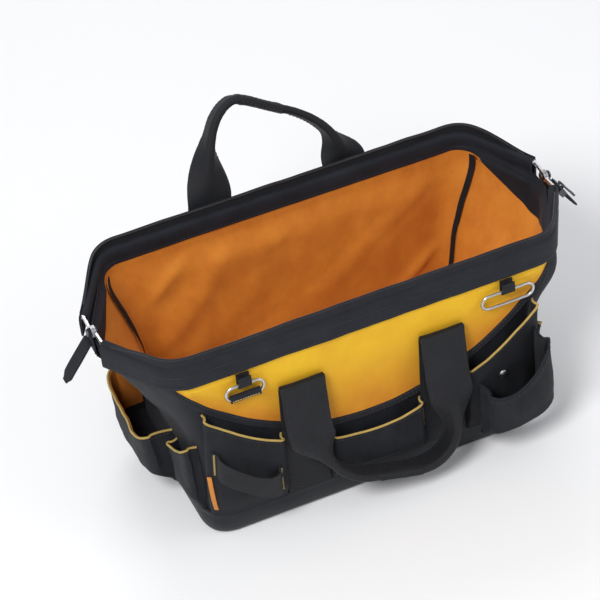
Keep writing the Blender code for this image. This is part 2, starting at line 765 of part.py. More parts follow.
def build_pins():
    """The rivets at both ends, and the reinforced tab that each one passes through."""
    for label, side in (("left", -1), ("right", 1)):
        inner = FRONT_EYE_X - EYE_THICKNESS / 2 - GAP
        outer = TAB_X + TAB_THICKNESS + GAP
        profile = [
            (inner - PIN_HEAD_THICKNESS, 0),
            (inner - PIN_HEAD_THICKNESS, PIN_HEAD_RADIUS * PIN_HEAD_EDGE_SHARE),
            (inner, PIN_HEAD_RADIUS),
            (inner, PIN_RADIUS),
            (outer, PIN_RADIUS),
            (outer, PIN_HEAD_RADIUS),
            (outer + PIN_HEAD_THICKNESS, PIN_HEAD_RADIUS * PIN_HEAD_EDGE_SHARE),
            (outer + PIN_HEAD_THICKNESS, 0),
        ]
        turned(f"{label}_hinge_rivet", profile, side)
        tab = hinge_tab(f"{label}_hinge_tab", side)
        bore = disc(
            f"{label}_tab_bore",
            PIN_RADIUS + HINGE_CLEARANCE,
            TAB_THICKNESS + 2 * HINGE_CLEARANCE,
            (side * (TAB_X + TAB_THICKNESS / 2), 0, PIN_HEIGHT),
            "steel",
        )
        cut(tab, bore)


def turned(name, profile, side, segments=RIVET_SIDES):
    """A solid of revolution about the pin line, from distance along X and radius."""
    points, faces = [], []
    for x, r in profile[1:-1]:
        for k in range(segments):
            turn = 2 * math.pi * k / segments
            points.append((side * x, r * math.cos(turn), PIN_HEIGHT + r * math.sin(turn)))
    rings = len(profile) - 2
    for i in range(rings - 1):
        for k in range(segments):
            j = (k + 1) % segments
            a, b = i * segments, (i + 1) * segments
            faces.append([a + k, a + j, b + j, b + k])
    faces.append(list(range(segments)))
    faces.append([(rings - 1) * segments + k for k in range(segments)])
    return solid(name, points, faces, "dark_metal")


def hinge_tab(name, side):
    low = rod_height(MOUTH_END_HALF_WIDTH) - SHELL_TOP_BELOW_ROD + GAP
    shoulder = PIN_HEIGHT - TAB_SHOULDER_DROP
    outline = [(-TAB_HALF_WIDTH, low), (TAB_HALF_WIDTH, low)]
    outline += [(TAB_HALF_WIDTH, shoulder - TAB_NECK_HALF_WIDTH), (TAB_NECK_HALF_WIDTH, shoulder)]
    for k in range(FOLD_STEPS + 1):
        a = math.pi * k / FOLD_STEPS
        outline.append((TAB_NECK_HALF_WIDTH * math.cos(a), PIN_HEIGHT + TAB_NECK_HALF_WIDTH * math.sin(a)))
    outline += [(-TAB_NECK_HALF_WIDTH, shoulder), (-TAB_HALF_WIDTH, shoulder - TAB_NECK_HALF_WIDTH)]
    rows = [[(side * x, y, z) for y, z in outline] for x in (TAB_X, TAB_X + TAB_THICKNESS)]
    return strip(name, rows, "webbing")


def build_anchors():
    """The webbing sewn to the body below each end of each handle."""
    for wall, side in (("front", -1), ("rear", 1)):
        for label, middle in (("left", -HANDLE_HALF_SPACING), ("right", HANDLE_HALF_SPACING)):
            near, far = side * POCKET_SEAT, side * (POCKET_SEAT + ANCHOR_THICKNESS)
            left, right = middle - ANCHOR_HALF_SPAN, middle + ANCHOR_HALF_SPAN
            rows = [
                [(left, near, z), (right, near, z), (right, far, z), (left, far, z)]
                for z in (POCKET_BOTTOM, FOLD_HEIGHT)
            ]
            strip(f"{wall}_{label}_anchor", rows, "webbing")


def handle_rows():
    """The handle laid flat: place across, distance from the fold, turn, width and thickness.
    Towards the grip the webbing's edges fold together, so that it narrows as it thickens."""
    bend = HANDLE_REACH - GRIP_WIDTH
    rows = []
    for k in range(1, FOLD_ROWS):
        turn = math.pi * k / FOLD_ROWS
        thick = max(2 * FOLD_RADIUS * math.sin(turn), WEBBING_THICKNESS)
        rows.append((-HANDLE_HALF_SPACING, -FOLD_RADIUS * math.cos(turn), 0, WEBBING_WIDTH, thick))
    start = bend * HANDLE_STRAIGHT_SHARE
    corner = Vector((-HANDLE_HALF_SPACING, HANDLE_REACH))
    a = Vector((-HANDLE_HALF_SPACING, start))
    b = Vector((-GRIP_HALF_LENGTH, HANDLE_REACH))
    for k in range(HANDLE_STEPS + 1):
        t = k / HANDLE_STEPS
        p = a * (1 - t) ** 2 + corner * (2 * t * (1 - t)) + b * t**2
        angle = math.atan2(*(((corner - a) * (1 - t) + (b - corner) * t).normalized()))
        width = GRIP_WIDTH + (WEBBING_WIDTH - GRIP_WIDTH) * (1 - t) ** LEAF_TAPER_SHARE
        thick = WEBBING_THICKNESS + (WEBBING_WIDTH - width) / 2
        rows.append((p.x, p.y, angle, width, thick))
    mirrored = [(-x, s, -angle, width, thick) for x, s, angle, width, thick in rows[::-1]]
    return rows + mirrored


def build_handle(label, path_at, origin):
    """A webbing loop and its grip. path_at turns distance from the fold into a place and a direction."""
    rows = []
    for x, s, angle, width, thick in handle_rows():
        across = Vector((math.cos(angle), -math.sin(angle)))
        row = []
        for sign, out in ((-1, -1), (1, -1), (1, 1), (-1, 1)):
            flat_x = x + across.x * sign * width / 2
            flat_s = s + across.y * sign * width / 2
            at, normal = path_at(flat_s)
            row.append(Vector((flat_x, at[0], at[1])) + Vector((0, *normal)) * out * thick / 2)
        rows.append(row)
    half = len(rows) // 2
    for row in rows[half:]:
        row[0], row[1], row[2], row[3] = row[1], row[0], row[3], row[2]
    strip(f"{label}_handle", rows, "webbing", origin)
    sleeve = []
    for extra, corner in ((GRIP_SLEEVE_WALL + GAP, GRIP_SLEEVE_CORNER), (GAP, GAP)):
        half = rectangle(GRIP_WIDTH / 2 + extra, GRIP_DEPTH / 2 + extra)
        sleeve.append(rounded(half, [corner] * 4, 2))
    sleeve_length = GRIP_HALF_LENGTH - GAP
    points, faces = [], []
    for ring, x in ((sleeve[0], -1), (sleeve[0], 1), (sleeve[1], 1), (sleeve[1], -1)):
        for p in ring:
            at, normal = path_at(HANDLE_REACH + p.x)
            points.append(Vector((x * sleeve_length, at[0] + normal[0] * p.y, at[1] + normal[1] * p.y)))
    count = len(sleeve[0])
    for r in range(4):
        for i in range(count):
            j = (i + 1) % count
            s = (r + 1) % 4
            faces.append([r * count + i, r * count + j, s * count + j, s * count + i])
    solid(f"{label}_grip", points, faces, "webbing", origin)


def front_handle_path(s):
    """The front handle hangs from its fold and leans out over the pockets."""
    lean = FRONT_HANDLE_LEAN
    down = (-math.sin(lean), -math.cos(lean))
    return (-FOLD_Y + down[0] * s, FOLD_HEIGHT + down[1] * s), (-math.cos(lean), math.sin(lean))


def rear_handle_path(s):
    """The rear handle stands close behind the rim and bends back above it."""
    lean = REAR_HANDLE_LEAN if s <= REAR_HANDLE_BEND_START else REAR_HANDLE_BEND
    first = min(s, REAR_HANDLE_BEND_START)
    rest = s - first
    y = FOLD_Y + math.sin(REAR_HANDLE_LEAN) * first + math.sin(REAR_HANDLE_BEND) * rest
    z = FOLD_HEIGHT + math.cos(REAR_HANDLE_LEAN) * first + math.cos(REAR_HANDLE_BEND) * rest
    return (y, z), (math.cos(lean), -math.sin(lean))


def build_ring(label, x, length):
    """An elongated wire ring and the webbing keeper that holds its upper side against the front panel."""
    y = -POCKET_SEAT - KEEPER_THICKNESS - 2 * GAP - RING_WIRE_RADIUS
    half = length / 2
    outline = rounded(
        [(-half, -RING_HEIGHT), (half, -RING_HEIGHT), (half, 0), (-half, 0)], [RING_CORNER] * 4, 3
    )
    points = [(x + p.x, y, RING_PIVOT_HEIGHT + p.y) for p in outline]
    tube(f"{label}_ring", points, RING_WIRE_RADIUS, "steel", closed=True, origin=(x, y, RING_PIVOT_HEIGHT))
    inside = RING_WIRE_RADIUS + GAP + KEEPER_THICKNESS / 2
    path = [(y + inside, RING_PIVOT_HEIGHT + KEEPER_LEAF)]
    for k in range(FOLD_STEPS + 1):
        a = -math.pi * k / FOLD_STEPS
        path.append((y + inside * math.cos(a), RING_PIVOT_HEIGHT + inside * math.sin(a)))
    path.append((y - inside, RING_PIVOT_HEIGHT + KEEPER_LEAF))

    def place(p, q, across):
        return (across, p, q)

    ribbon(
        f"{label}_ring_keeper",
        path,
        KEEPER_THICKNESS,
        x - KEEPER_WIDTH / 2,
        x + KEEPER_WIDTH / 2,
        "webbing",
        place,
    )


def tail_frame():
    """Where the zip end starts to droop, and the directions along it and out from it, in X and Z."""
    start = Vector((TAB_X + TAB_THICKNESS + PIN_HEAD_THICKNESS + 2 * GAP, PIN_HEIGHT - TAIL_ROOT_DROP))
    along = Vector((math.cos(TAIL_DROOP), -math.sin(TAIL_DROOP)))
    return start, along, Vector((math.sin(TAIL_DROOP), math.cos(TAIL_DROOP)))


def build_tails():
    start, along, out = tail_frame()
    root = Vector((TAB_X + TAB_THICKNESS + GAP, start.y))
    for label, side in (("left", -1), ("right", 1)):
        rows = []
        stations = (
            (root, Vector((0, 1)), TAIL_WIDTH),
            (start, Vector((TAIL_ROOT_TURN_SHARE, 1)).normalized(), TAIL_WIDTH),
            (start + along * TAIL_THICKNESS, out, TAIL_WIDTH),
            (start + along * (TAIL_LENGTH - TAIL_TIP_LENGTH), out, TAIL_WIDTH),
            (start + along * TAIL_LENGTH, out, TAIL_TIP_WIDTH),
        )
        for at, normal, width in stations:
            over, under = at + normal * TAIL_THICKNESS / 2, at - normal * TAIL_THICKNESS / 2
            rows.append(
                [
                    (side * under.x, -width / 2, under.y),
                    (side * under.x, width / 2, under.y),
                    (side * over.x, width / 2, over.y),
                    (side * over.x, -width / 2, over.y),
                ]
            )
        strip(f"{label}_zip_end", rows, "zip_tape")


def build_slider():
    """The slider rides round the right zip end, and its pull hangs from its outer face."""
    start, along, out = tail_frame()
    near = start + along * (TAIL_THICKNESS + SLIDER_FROM_ROOT)
    far = near + along * SLIDER_LENGTH
    middle = (near + far) / 2
    origin = (middle.x, 0, middle.y)
    inner_half = (TAIL_WIDTH / 2 + GAP, TAIL_THICKNESS / 2 + GAP)
    outer_half = (inner_half[0] + SLIDER_WALL, inner_half[1] + SLIDER_WALL)
    points, faces = [], []
    for half, at in ((outer_half, near), (outer_half, far), (inner_half, far), (inner_half, near)):
        for a, b in ((-1, -1), (1, -1), (1, 1), (-1, 1)):
            p = at + out * b * half[1]
            points.append((p.x, a * half[0], p.y))
    for r in range(4):
        for i in range(4):
            j = (i + 1) % 4
            s = (r + 1) % 4
            faces.append([r * 4 + i, r * 4 + j, s * 4 + j, s * 4 + i])
    solid("zip_slider", points, faces, "dark_metal", origin)
    pivot = middle + out * (outer_half[1] + GAP + PULL_FOLD_RADIUS)
    rows = []
    for reach, half in (
        (-PULL_FOLD_RADIUS, PULL_FOLD_RADIUS / 2),
        (0, PULL_FOLD_RADIUS),
        (PULL_FOLD_RADIUS, PULL_THICKNESS / 2),
        (PULL_LENGTH, PULL_THICKNESS / 2),
    ):
        at = pivot + along * reach
        over, under = at + out * half, at - out * half
        rows.append(
            [
                (under.x, -PULL_WIDTH / 2, under.y),
                (under.x, PULL_WIDTH / 2, under.y),
                (over.x, PULL_WIDTH / 2, over.y),
                (over.x, -PULL_WIDTH / 2, over.y),
            ]
        )
    strip("zip_pull", rows, "dark_metal", (pivot.x, 0, pivot.y))


def build():
    clear_scene()
    build_base()
    build_body()
    build_panel("front_panel", -1)
    build_panel("rear_panel", 1)
    build_wall_pockets("front", front_place)
    build_wall_pockets("rear", rear_place)
    build_outer_pocket()
    build_end_pockets()
    build_tool_loops()
    build_corner_strip()
    build_rim_half("front", -1, FRONT_EYE_X)
    build_rim_half("rear", 1, REAR_EYE_X)
    build_pins()
    build_anchors()
    build_handle("front", front_handle_path, (0, -FOLD_Y, FOLD_HEIGHT))
    build_handle("rear", rear_handle_path, (0, FOLD_Y, FOLD_HEIGHT))
    build_ring("left", LEFT_RING_X, LEFT_RING_LENGTH)
    build_ring("right", RIGHT_RING_X, RIGHT_RING_LENGTH)
    build_tails()
    build_slider()


build()
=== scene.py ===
"""A wide-mouth tool bag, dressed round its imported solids: coated base, sagging cloth body, orange lining,
yellow panels, piped pockets, a wide tool loop, steel rim halves in a sewn band, zip tapes, webbing handles
and wire rings. Sizes are in metres, and the bag stands on Z = 0 with its front towards -Y."""

import math

import bmesh
import bpy
from mathutils import Matrix, Vector, noise


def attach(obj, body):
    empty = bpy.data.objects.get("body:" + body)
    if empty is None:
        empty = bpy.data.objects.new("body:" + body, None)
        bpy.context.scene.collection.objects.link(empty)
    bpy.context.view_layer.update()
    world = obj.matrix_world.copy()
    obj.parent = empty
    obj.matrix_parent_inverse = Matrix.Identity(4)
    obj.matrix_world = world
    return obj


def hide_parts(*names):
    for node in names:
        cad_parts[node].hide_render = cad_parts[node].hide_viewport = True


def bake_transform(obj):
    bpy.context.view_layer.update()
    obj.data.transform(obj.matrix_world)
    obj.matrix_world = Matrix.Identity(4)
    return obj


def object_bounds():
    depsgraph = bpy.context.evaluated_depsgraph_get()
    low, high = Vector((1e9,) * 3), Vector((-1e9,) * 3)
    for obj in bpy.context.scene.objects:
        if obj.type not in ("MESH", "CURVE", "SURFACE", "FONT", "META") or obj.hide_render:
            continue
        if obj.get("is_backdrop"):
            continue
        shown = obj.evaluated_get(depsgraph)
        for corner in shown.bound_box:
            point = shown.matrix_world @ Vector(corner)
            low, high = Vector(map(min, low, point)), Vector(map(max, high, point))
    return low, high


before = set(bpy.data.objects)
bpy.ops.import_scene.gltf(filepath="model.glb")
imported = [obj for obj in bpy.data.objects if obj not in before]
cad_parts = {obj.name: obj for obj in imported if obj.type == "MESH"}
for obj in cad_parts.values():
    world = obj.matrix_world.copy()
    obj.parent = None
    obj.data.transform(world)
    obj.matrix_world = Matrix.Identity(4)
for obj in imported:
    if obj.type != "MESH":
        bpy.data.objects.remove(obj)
solid_box = [list(corner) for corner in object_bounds()]
bpy.ops.object.select_all(action="DESELECT")

# Camera
# The photograph looks down on the bag from its front left, through a long lens, with the picture turned a
# little.
view_from = Vector((-0.8189, -2.0622, 2.1070))
look_at = Vector((-0.0259, 0.0144, 0.1747))
picture_turn = math.radians(-5.2)
bpy.ops.object.camera_add(location=view_from)
camera = bpy.context.object
camera.name = "photo_camera"
ahead = (look_at - view_from).normalized()
level = ahead.cross(Vector((0, 0, 1))).normalized()
upright = level.cross(ahead)
right = level * math.cos(picture_turn) + upright * math.sin(picture_turn)
top = upright * math.cos(picture_turn) - level * math.sin(picture_turn)
camera.rotation_mode = "QUATERNION"
camera.rotation_quaternion = Matrix((right, top, -ahead)).transposed().to_quaternion()
camera.data.sensor_width = 36
camera.data.lens = 166.1
camera.data.clip_start = 0.1
camera.data.clip_end = 50
bpy.context.scene.camera = camera

# Light and floor
# Three soft boxes and an even sky, over a pale floor that takes the bag's shadow.
soft_boxes = (
    ("key_light", (-1.5, -1.3, 2.4), 1.1, 62),
    ("fill_light", (2.0, -1.3, 1.4), 1.8, 13),
    ("back_light", (0.5, 2.1, 2.2), 1.6, 22),
)
for label, place, size, power in soft_boxes:
    bpy.ops.object.light_add(type="AREA", location=place)
    lamp = bpy.context.object
    lamp.name = label
    lamp.data.shape = "DISK"
    lamp.data.size = size
    lamp.data.energy = power
    lamp.rotation_mode = "QUATERNION"
    lamp.rotation_quaternion = (look_at - Vector(place)).to_track_quat("-Z", "Y")

world = bpy.data.worlds.new("studio")
bpy.context.scene.world = world
world.use_nodes = True
sky = world.node_tree.nodes["Background"]
sky.inputs["Color"].default_value = (0.93, 0.95, 1.0, 1)
sky.inputs["Strength"].default_value = 0.46
bpy.context.scene.view_settings.view_transform = "Standard"

bpy.ops.mesh.primitive_plane_add(size=14, location=(0, 0, -0.0004))
floor = bpy.context.object
floor.name = "studio_floor"
paper = bpy.data.materials.new("floor_paper")
paper.use_nodes = True
sheet_paint = paper.node_tree.nodes["Principled BSDF"]
sheet_paint.inputs["Base Color"].default_value = (0.92, 0.92, 0.92, 1)
sheet_paint.inputs["Roughness"].default_value = 0.9
sheet_paint.inputs["Specular IOR Level"].default_value = 0.1
floor.data.materials.append(paper)
floor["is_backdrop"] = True

# Base
# A tray of black coated cloth over a stiff board, on which the whole bag stands. Its upper edge is bound
# where the body is sewn in.
BASE_HALF_LENGTH = 0.195
BASE_HALF_DEPTH = 0.107
BASE_CORNER = 0.034


def feed(node, values):
    """Gives a node's inputs their values, or links them to the outputs that they come from."""
    for key, value in values.items():
        if isinstance(value, bpy.types.NodeSocket):
            node.id_data.links.new(value, node.inputs[key])
        else:
            node.inputs[key].default_value = value


def node_maker(tree):
    """A short way to add nodes to this tree."""

    def add(kind, settings=(), **inputs):
        """A new node with its settings, and its inputs given by name or as i and a number."""
        made = tree.nodes.new(kind)
        for key, value in dict(settings).items():
            setattr(made, key, value)
        feed(made, {int(key[1:]) if key[1:].isdigit() else key: value for key, value in inputs.items()})
        return made

    return add


def calc(add, operation, *terms, clamp=False):
    """The result of a math node on these terms."""
    inputs = {f"i{n}": term for n, term in enumerate(terms)}
    return add("ShaderNodeMath", {"operation": operation, "use_clamp": clamp}, **inputs).outputs[0]


def mixed(add, share, first, second):
    """Two colours, mixed by this share of the second."""
    return add("ShaderNodeMix", {"data_type": "RGBA"}, i0=share, i6=first, i7=second).outputs[2]


def new_look(label):
    """A new material, the way to add its nodes, and its shader."""
    look = bpy.data.materials.new(label)
    look.use_nodes = True
    return look, node_maker(look.node_tree), look.node_tree.nodes["Principled BSDF"]


def weave_group():
    """Threads over and under each other, slubs, the uneven dye of real cloth, and painted shade towards the
    piece's lower edge, with dirt as well on some cloths, from a piece's own UV in metres. It gives a colour,
    a height and a roughness."""
    found = bpy.data.node_groups.get("woven_threads")
    if found:
        return found
    tree = bpy.data.node_groups.new("woven_threads", "ShaderNodeTree")
    inputs = {
        "Along": "Vector", "Thread Pitch": "Float", "Deep Colour": "Color", "Raised Colour": "Color",
        "Unevenness": "Float", "Roughness": "Float", "Rib Ratio": "Float", "Shade And Dirt Colour": "Color",
        "Shade And Dirt Reach": "Float",
    }
    outputs = {"Colour": "Color", "Height": "Float", "Roughness": "Float"}
    for way, sockets in (("INPUT", inputs), ("OUTPUT", outputs)):
        for label, kind in sockets.items():
            tree.interface.new_socket(name=label, in_out=way, socket_type=f"NodeSocket{kind}")
    add = node_maker(tree)
    given = add("NodeGroupInput").outputs
    place = given["Along"]
    parts = add("ShaderNodeSeparateXYZ", Vector=place).outputs
    turn = calc(add, "DIVIDE", math.tau, given["Thread Pitch"])
    slub = add("ShaderNodeTexNoise", Vector=place, Scale=420.0, Detail=3.0, Roughness=0.6).outputs["Fac"]
    waves = []
    for axis, ratio in (("X", given["Rib Ratio"]), ("Y", 1.0)):
        turns = calc(add, "MULTIPLY", calc(add, "MULTIPLY", parts[axis], turn), ratio)
        waves.append(calc(add, "SINE", calc(add, "MULTIPLY_ADD", slub, 1.6, turns)))
    threads = calc(add, "MULTIPLY_ADD", calc(add, "MULTIPLY", *waves), 0.5, 0.5)
    blotch = add("ShaderNodeTexNoise", Vector=place, Scale=16.0, Detail=5.0, Roughness=0.62).outputs["Fac"]
    drawn = add("ShaderNodeMapping", Vector=place, Scale=(46, 24, 1)).outputs[0]
    streak = add("ShaderNodeTexNoise", Vector=drawn, Scale=1.0, Detail=4.0, Roughness=0.7).outputs["Fac"]
    dye = calc(add, "SUBTRACT", calc(add, "ADD", blotch, streak), 1.0)
    spread = calc(add, "MULTIPLY", dye, given["Unevenness"])
    lit = calc(add, "MULTIPLY_ADD", threads, 0.55, 0.22)
    share = calc(add, "MULTIPLY_ADD", spread, 2.2, lit, clamp=True)
    colour = mixed(add, share, given["Deep Colour"], given["Raised Colour"])
    # Painted shade, with dirt as well on some cloths: the colour darkens in patches towards a given colour
    # near the piece's lower edge.
    near = calc(add, "SUBTRACT", 1.0, calc(add, "DIVIDE", parts["Y"], given["Shade And Dirt Reach"]), clamp=True)
    patchy = calc(add, "MULTIPLY_ADD", blotch, 1.2, 0.2)
    shade_and_dirt = calc(add, "MULTIPLY", near, patchy, clamp=True)
    add(
        "NodeGroupOutput",
        Colour=mixed(add, shade_and_dirt, colour, given["Shade And Dirt Colour"]),
        Height=calc(add, "MULTIPLY_ADD", slub, 0.35, threads),
        Roughness=calc(add, "MULTIPLY_ADD", spread, 0.35, given["Roughness"], clamp=True),
    )
    return tree


def cloth_look(
    label, deep, raised, pitch, uneven, rough, relief, sheen, rib=1.0, coat=0.0, shine=0.22, edge=None,
    shade_and_dirt_reach=1e-5,
):
    """A woven finish: the thread group placed with this cloth's own pitch, colours and relief. edge is a
    colour that the cloth's lower part darkens towards, up to the given reach: painted shade, with dirt as
    well on some cloths."""
    look, add, shader = new_look(label)
    threads = add("ShaderNodeGroup", {"node_tree": weave_group()})
    feed(
        threads,
        {
            "Along": add("ShaderNodeUVMap", {"uv_map": "laid_flat"}).outputs["UV"],
            "Thread Pitch": pitch,
            "Deep Colour": (*deep, 1),
            "Raised Colour": (*raised, 1),
            "Unevenness": uneven,
            "Roughness": rough,
            "Rib Ratio": rib,
            "Shade And Dirt Colour": (*(edge or deep), 1),
            "Shade And Dirt Reach": shade_and_dirt_reach,
        },
    )
    bump = add("ShaderNodeBump", Strength=1.0, Distance=relief, Height=threads.outputs["Height"])
    feed(
        shader,
        {
            "Base Color": threads.outputs["Colour"],
            "Roughness": threads.outputs["Roughness"],
            "Normal": bump.outputs["Normal"],
            "Specular IOR Level": shine,
            "Sheen Weight": sheen,
            "Sheen Roughness": 0.5,
            "Sheen Tint": (*[min(1, 0.5 + c) for c in raised], 1),
            "Coat Weight": coat,
            "Coat Roughness": 0.5,
        },
    )
    return look


def curve(a, corner, b, steps):
    """A curve from a to b that turns towards the corner between them, in this many steps."""
    shares = [k / steps for k in range(steps + 1)]
    return [a * (1 - t) ** 2 + corner * (2 * t * (1 - t)) + b * t**2 for t in shares]


def rounded(corners, reach, steps, straight):
    """A closed plan outline: each corner a curve of this many steps, each side divided into its own
    number."""
    arcs = []
    for i, corner in enumerate(corners):
        beside = corners[i - 1], corners[i + 1 - len(corners)]
        a, b = (corner + (other - corner).normalized() * reach for other in beside)
        arcs.append(curve(a, corner, b, steps))
    found = []
    for arc, following, pieces in zip(arcs, arcs[1:] + arcs[:1], straight):
        found += arc + [arc[-1].lerp(following[0], k / pieces) for k in range(1, pieces)]
    return found


def distances(points):
    """How far along a path each of its points lies."""
    found = [0.0]
    for a, b in zip(points, points[1:]):
        found.append(found[-1] + (b - a).length)
    return found


def piece_from(shape, name):
    """A new object from a bmesh, which is used up."""
    mesh = bpy.data.meshes.new(name)
    shape.to_mesh(mesh)
    shape.free()
    obj = bpy.data.objects.new(name, mesh)
    bpy.context.scene.collection.objects.link(obj)
    return obj


def sewn(name, rows, look, thickness=0.0, closed=False, caps=False):
    """A mesh through rows of points, left to right as seen from outside and from the bottom up, with its own
    UV map in metres. Thickness goes inwards. closed joins each row's ends, caps fills the first and last
    rows."""
    count, high = len(rows[0]), len(rows)
    middle_row = rows[high // 2]
    across = distances(middle_row + middle_row[:1] if closed else middle_row)
    up = distances([row[count // 2] for row in rows])
    shape = bmesh.new()
    points = [[shape.verts.new(p) for p in row] for row in rows]
    laid = shape.loops.layers.uv.new("laid_flat")
    for r in range(high - 1):
        for c in range(count if closed else count - 1):
            d = (c + 1) % count
            face = shape.faces.new((points[r][c], points[r][d], points[r + 1][d], points[r + 1][c]))
            places = ((c, r), (c + 1, r), (c + 1, r + 1), (c, r + 1))
            for loop, (i, j) in zip(face.loops, places):
                loop[laid].uv = (across[i], up[j])
    if caps:
        for row in (points[0][::-1], points[-1]):
            for loop in shape.faces.new(row).loops:
                loop[laid].uv = (loop.vert.co.x, loop.vert.co.y)
        bmesh.ops.recalc_face_normals(shape, faces=shape.faces)
    obj = piece_from(shape, name)
    finish_piece(obj, look, thickness)
    return obj


def finish_piece(obj, look, thickness=0.0, smooth_over=50):
    """Thickness, material and shading for a new piece."""
    bpy.ops.object.select_all(action="DESELECT")
    obj.select_set(True)
    bpy.context.view_layer.objects.active = obj
    if thickness:
        bpy.ops.object.modifier_add(type="SOLIDIFY")
        wall = obj.modifiers[-1]
        wall.thickness = thickness
        wall.offset = -1
        wall.use_even_offset = False
        bpy.ops.object.modifier_apply(modifier=wall.name)
    obj.data.materials.clear()
    obj.data.materials.append(look)
    bpy.ops.object.shade_smooth_by_angle(angle=math.radians(smooth_over))
    obj.select_set(False)


def ripple(x, y, z, size, seed=0.0):
    """Smooth noise from -1 to 1, the same each run."""
    return noise.noise(Vector((x / size + seed, y / size - seed, z / size + 2 * seed)))


def ease(value, low, high):
    """0 before low, 1 after high, smooth between."""
    t = min(max((value - low) / (high - low), 0), 1)
    return t * t * (3 - 2 * t)


coated_cloth = cloth_look(
    "coated_base_cloth", (0.0065, 0.007, 0.0095), (0.021, 0.022, 0.028), 0.0016, 0.6, 0.55, 0.00022, 0.04,
    coat=0.06, shine=0.3,
)
# Height, and how far outside the base's outline: under the base, up its side, and over the bound upper edge
BOOT_SECTION = (
    (0.0, -0.020), (0.0, -0.0075), (0.0009, -0.0038), (0.0030, -0.0014), (0.0070, 0.0004),
    (0.0120, 0.0012), (0.0170, 0.0014), (0.0215, 0.0008), (0.0240, 0.0002), (0.0262, 0.0007),
    (0.0290, 0.0006), (0.0300, -0.0006), (0.0300, -0.0022),
)
boot_rows = []
for height, out in BOOT_SECTION:
    long, deep = BASE_HALF_LENGTH + out, BASE_HALF_DEPTH + out
    corners = [Vector((x * long, y * deep)) for x, y in ((-1, -1), (1, -1), (1, 1), (-1, 1))]
    row = []
    for p in rounded(corners, BASE_CORNER + min(out, 0), 12, (60, 30, 60, 30)):
        swell = 0.0011 * ripple(p.x, p.y, height, 0.045, 3.0) * ease(height, 0.002, 0.012)
        way = Vector((p.x / BASE_HALF_LENGTH, p.y / BASE_HALF_DEPTH)).normalized()
        row.append(Vector((p.x + way.x * swell, p.y + way.y * swell, height)))
    boot_rows.append(row)
boot = sewn("base_boot_cloth", boot_rows, coated_cloth, closed=True)
shape = bmesh.new()
shape.from_mesh(boot.data)
shape.faces.new([v for v in shape.verts if v.is_boundary and v.co.z < 0.001][::-1])
bmesh.ops.recalc_face_normals(shape, faces=shape.faces)
shape.to_mesh(boot.data)
shape.free()
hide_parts("base_boot")
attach(boot, "bag")

# Body
# A skin of black polyester cloth in two halves that meet in a seam at each end, sewn to the base below and
# to the rim above, so that it leans in as the mouth closes. An inner panel backs each end.
BODY_HALF_LENGTH = 0.1927
BODY_HALF_DEPTH = 0.1047
BODY_FOOT = 0.0033
BODY_TOP_BELOW_ROD = 0.0286
MOUTH_HALF_LENGTH = 0.2135
ROD_HALF_SPAN = 0.1025
ROD_CLEARANCE = 0.0012
BAR_HEIGHT = 0.250
PIN_HEIGHT = 0.242
END_REACH = 0.012
WALLS = (("front", -1), ("rear", 1))
ENDS = (("left", -1), ("right", 1))
FOLD_SHARE = 0.955
LEVELS = 48
FOLD_LEVELS = 24
# Height share, growth of the corners, end bulge, half width of the flat end, how far in to the rod
BODY_SECTIONS = (
    (0.00, 0.00, 0.0000, 0.022, 0.0),
    (0.13, 0.00, 0.0000, 0.022, 0.0),
    (0.40, 0.12, 0.0041, 0.022, 0.0),
    (0.60, 0.26, 0.0093, 0.022, 0.0),
    (0.78, 0.52, 0.0216, 0.022, 0.0),
    (0.90, 0.78, 0.0371, 0.020, 0.0),
    (0.97, 0.94, 0.0455, 0.016, 0.2),
    (1.04, 1.00, 0.0462, 0.012, 1.0),
    (1.12, 1.00, 0.0462, 0.011, 1.0),
)


def rod_height(y):
    """The height of the rim's rod this far from the hinge line."""
    return PIN_HEIGHT + (BAR_HEIGHT - PIN_HEIGHT) * min(abs(y) / ROD_HALF_SPAN, 1)


def level_height(y, share):
    """The height of this share of the wall, where it hangs below the rod at this depth."""
    return BODY_FOOT + (rod_height(y) - BODY_TOP_BELOW_ROD - BODY_FOOT) * share


def between(table, share):
    """The table's values at this share of the height, straight between one row and the next."""
    for low, high in zip(table, table[1:]):
        if share <= high[0] or high is table[-1]:
            t = min(max((share - low[0]) / (high[0] - low[0]), 0), 1)
            return [a + (b - a) * t for a, b in zip(low[1:], high[1:])]


def softened(table, share, reach=0.05):
    """The table's values here, turning gently from one row to the next."""
    found = [between(table, share + reach * k) for k in (-1, -0.5, 0, 0.5, 1)]
    return [sum(values) / len(values) for values in zip(*found)]


def open_path(corners, reaches, steps, straight):
    """A path through these corners, each inner one a curve, with every straight divided."""
    points = [Vector(c) for c in corners]
    found = [points[0]]
    at = points[0]
    for before, here, after, wanted, pieces in zip(points, points[1:], points[2:], reaches, straight):
        reach = min(wanted, (before - here).length * 0.48, (after - here).length * 0.48)
        a = here + (before - here).normalized() * reach
        b = here + (after - here).normalized() * reach
        found += [at.lerp(a, k / pieces) for k in range(1, pieces)] + curve(a, here, b, steps)
        at = b
    found += [at.lerp(points[-1], k / straight[-1]) for k in range(1, straight[-1] + 1)]
    return found


def wall_plan(share):
    """The body's outer face at this height share, from the left end's middle along the front to the right
    end's."""
    grown, bulge, flat_half, drawn_in = softened(BODY_SECTIONS, share)
    length = BODY_HALF_LENGTH + (MOUTH_HALF_LENGTH - BODY_HALF_LENGTH) * grown
    depth = BODY_HALF_DEPTH + (ROD_HALF_SPAN + ROD_CLEARANCE - BODY_HALF_DEPTH) * drawn_in
    end = length + bulge
    corner = BASE_CORNER - 0.008 * grown
    corners = [(-end, 0), (-end, -flat_half), (-length, -depth)]
    corners += [(-x, y) for x, y in corners[::-1]]
    return open_path(corners, (END_REACH, corner, corner, END_REACH), 10, (3, 16, 84, 16, 3))


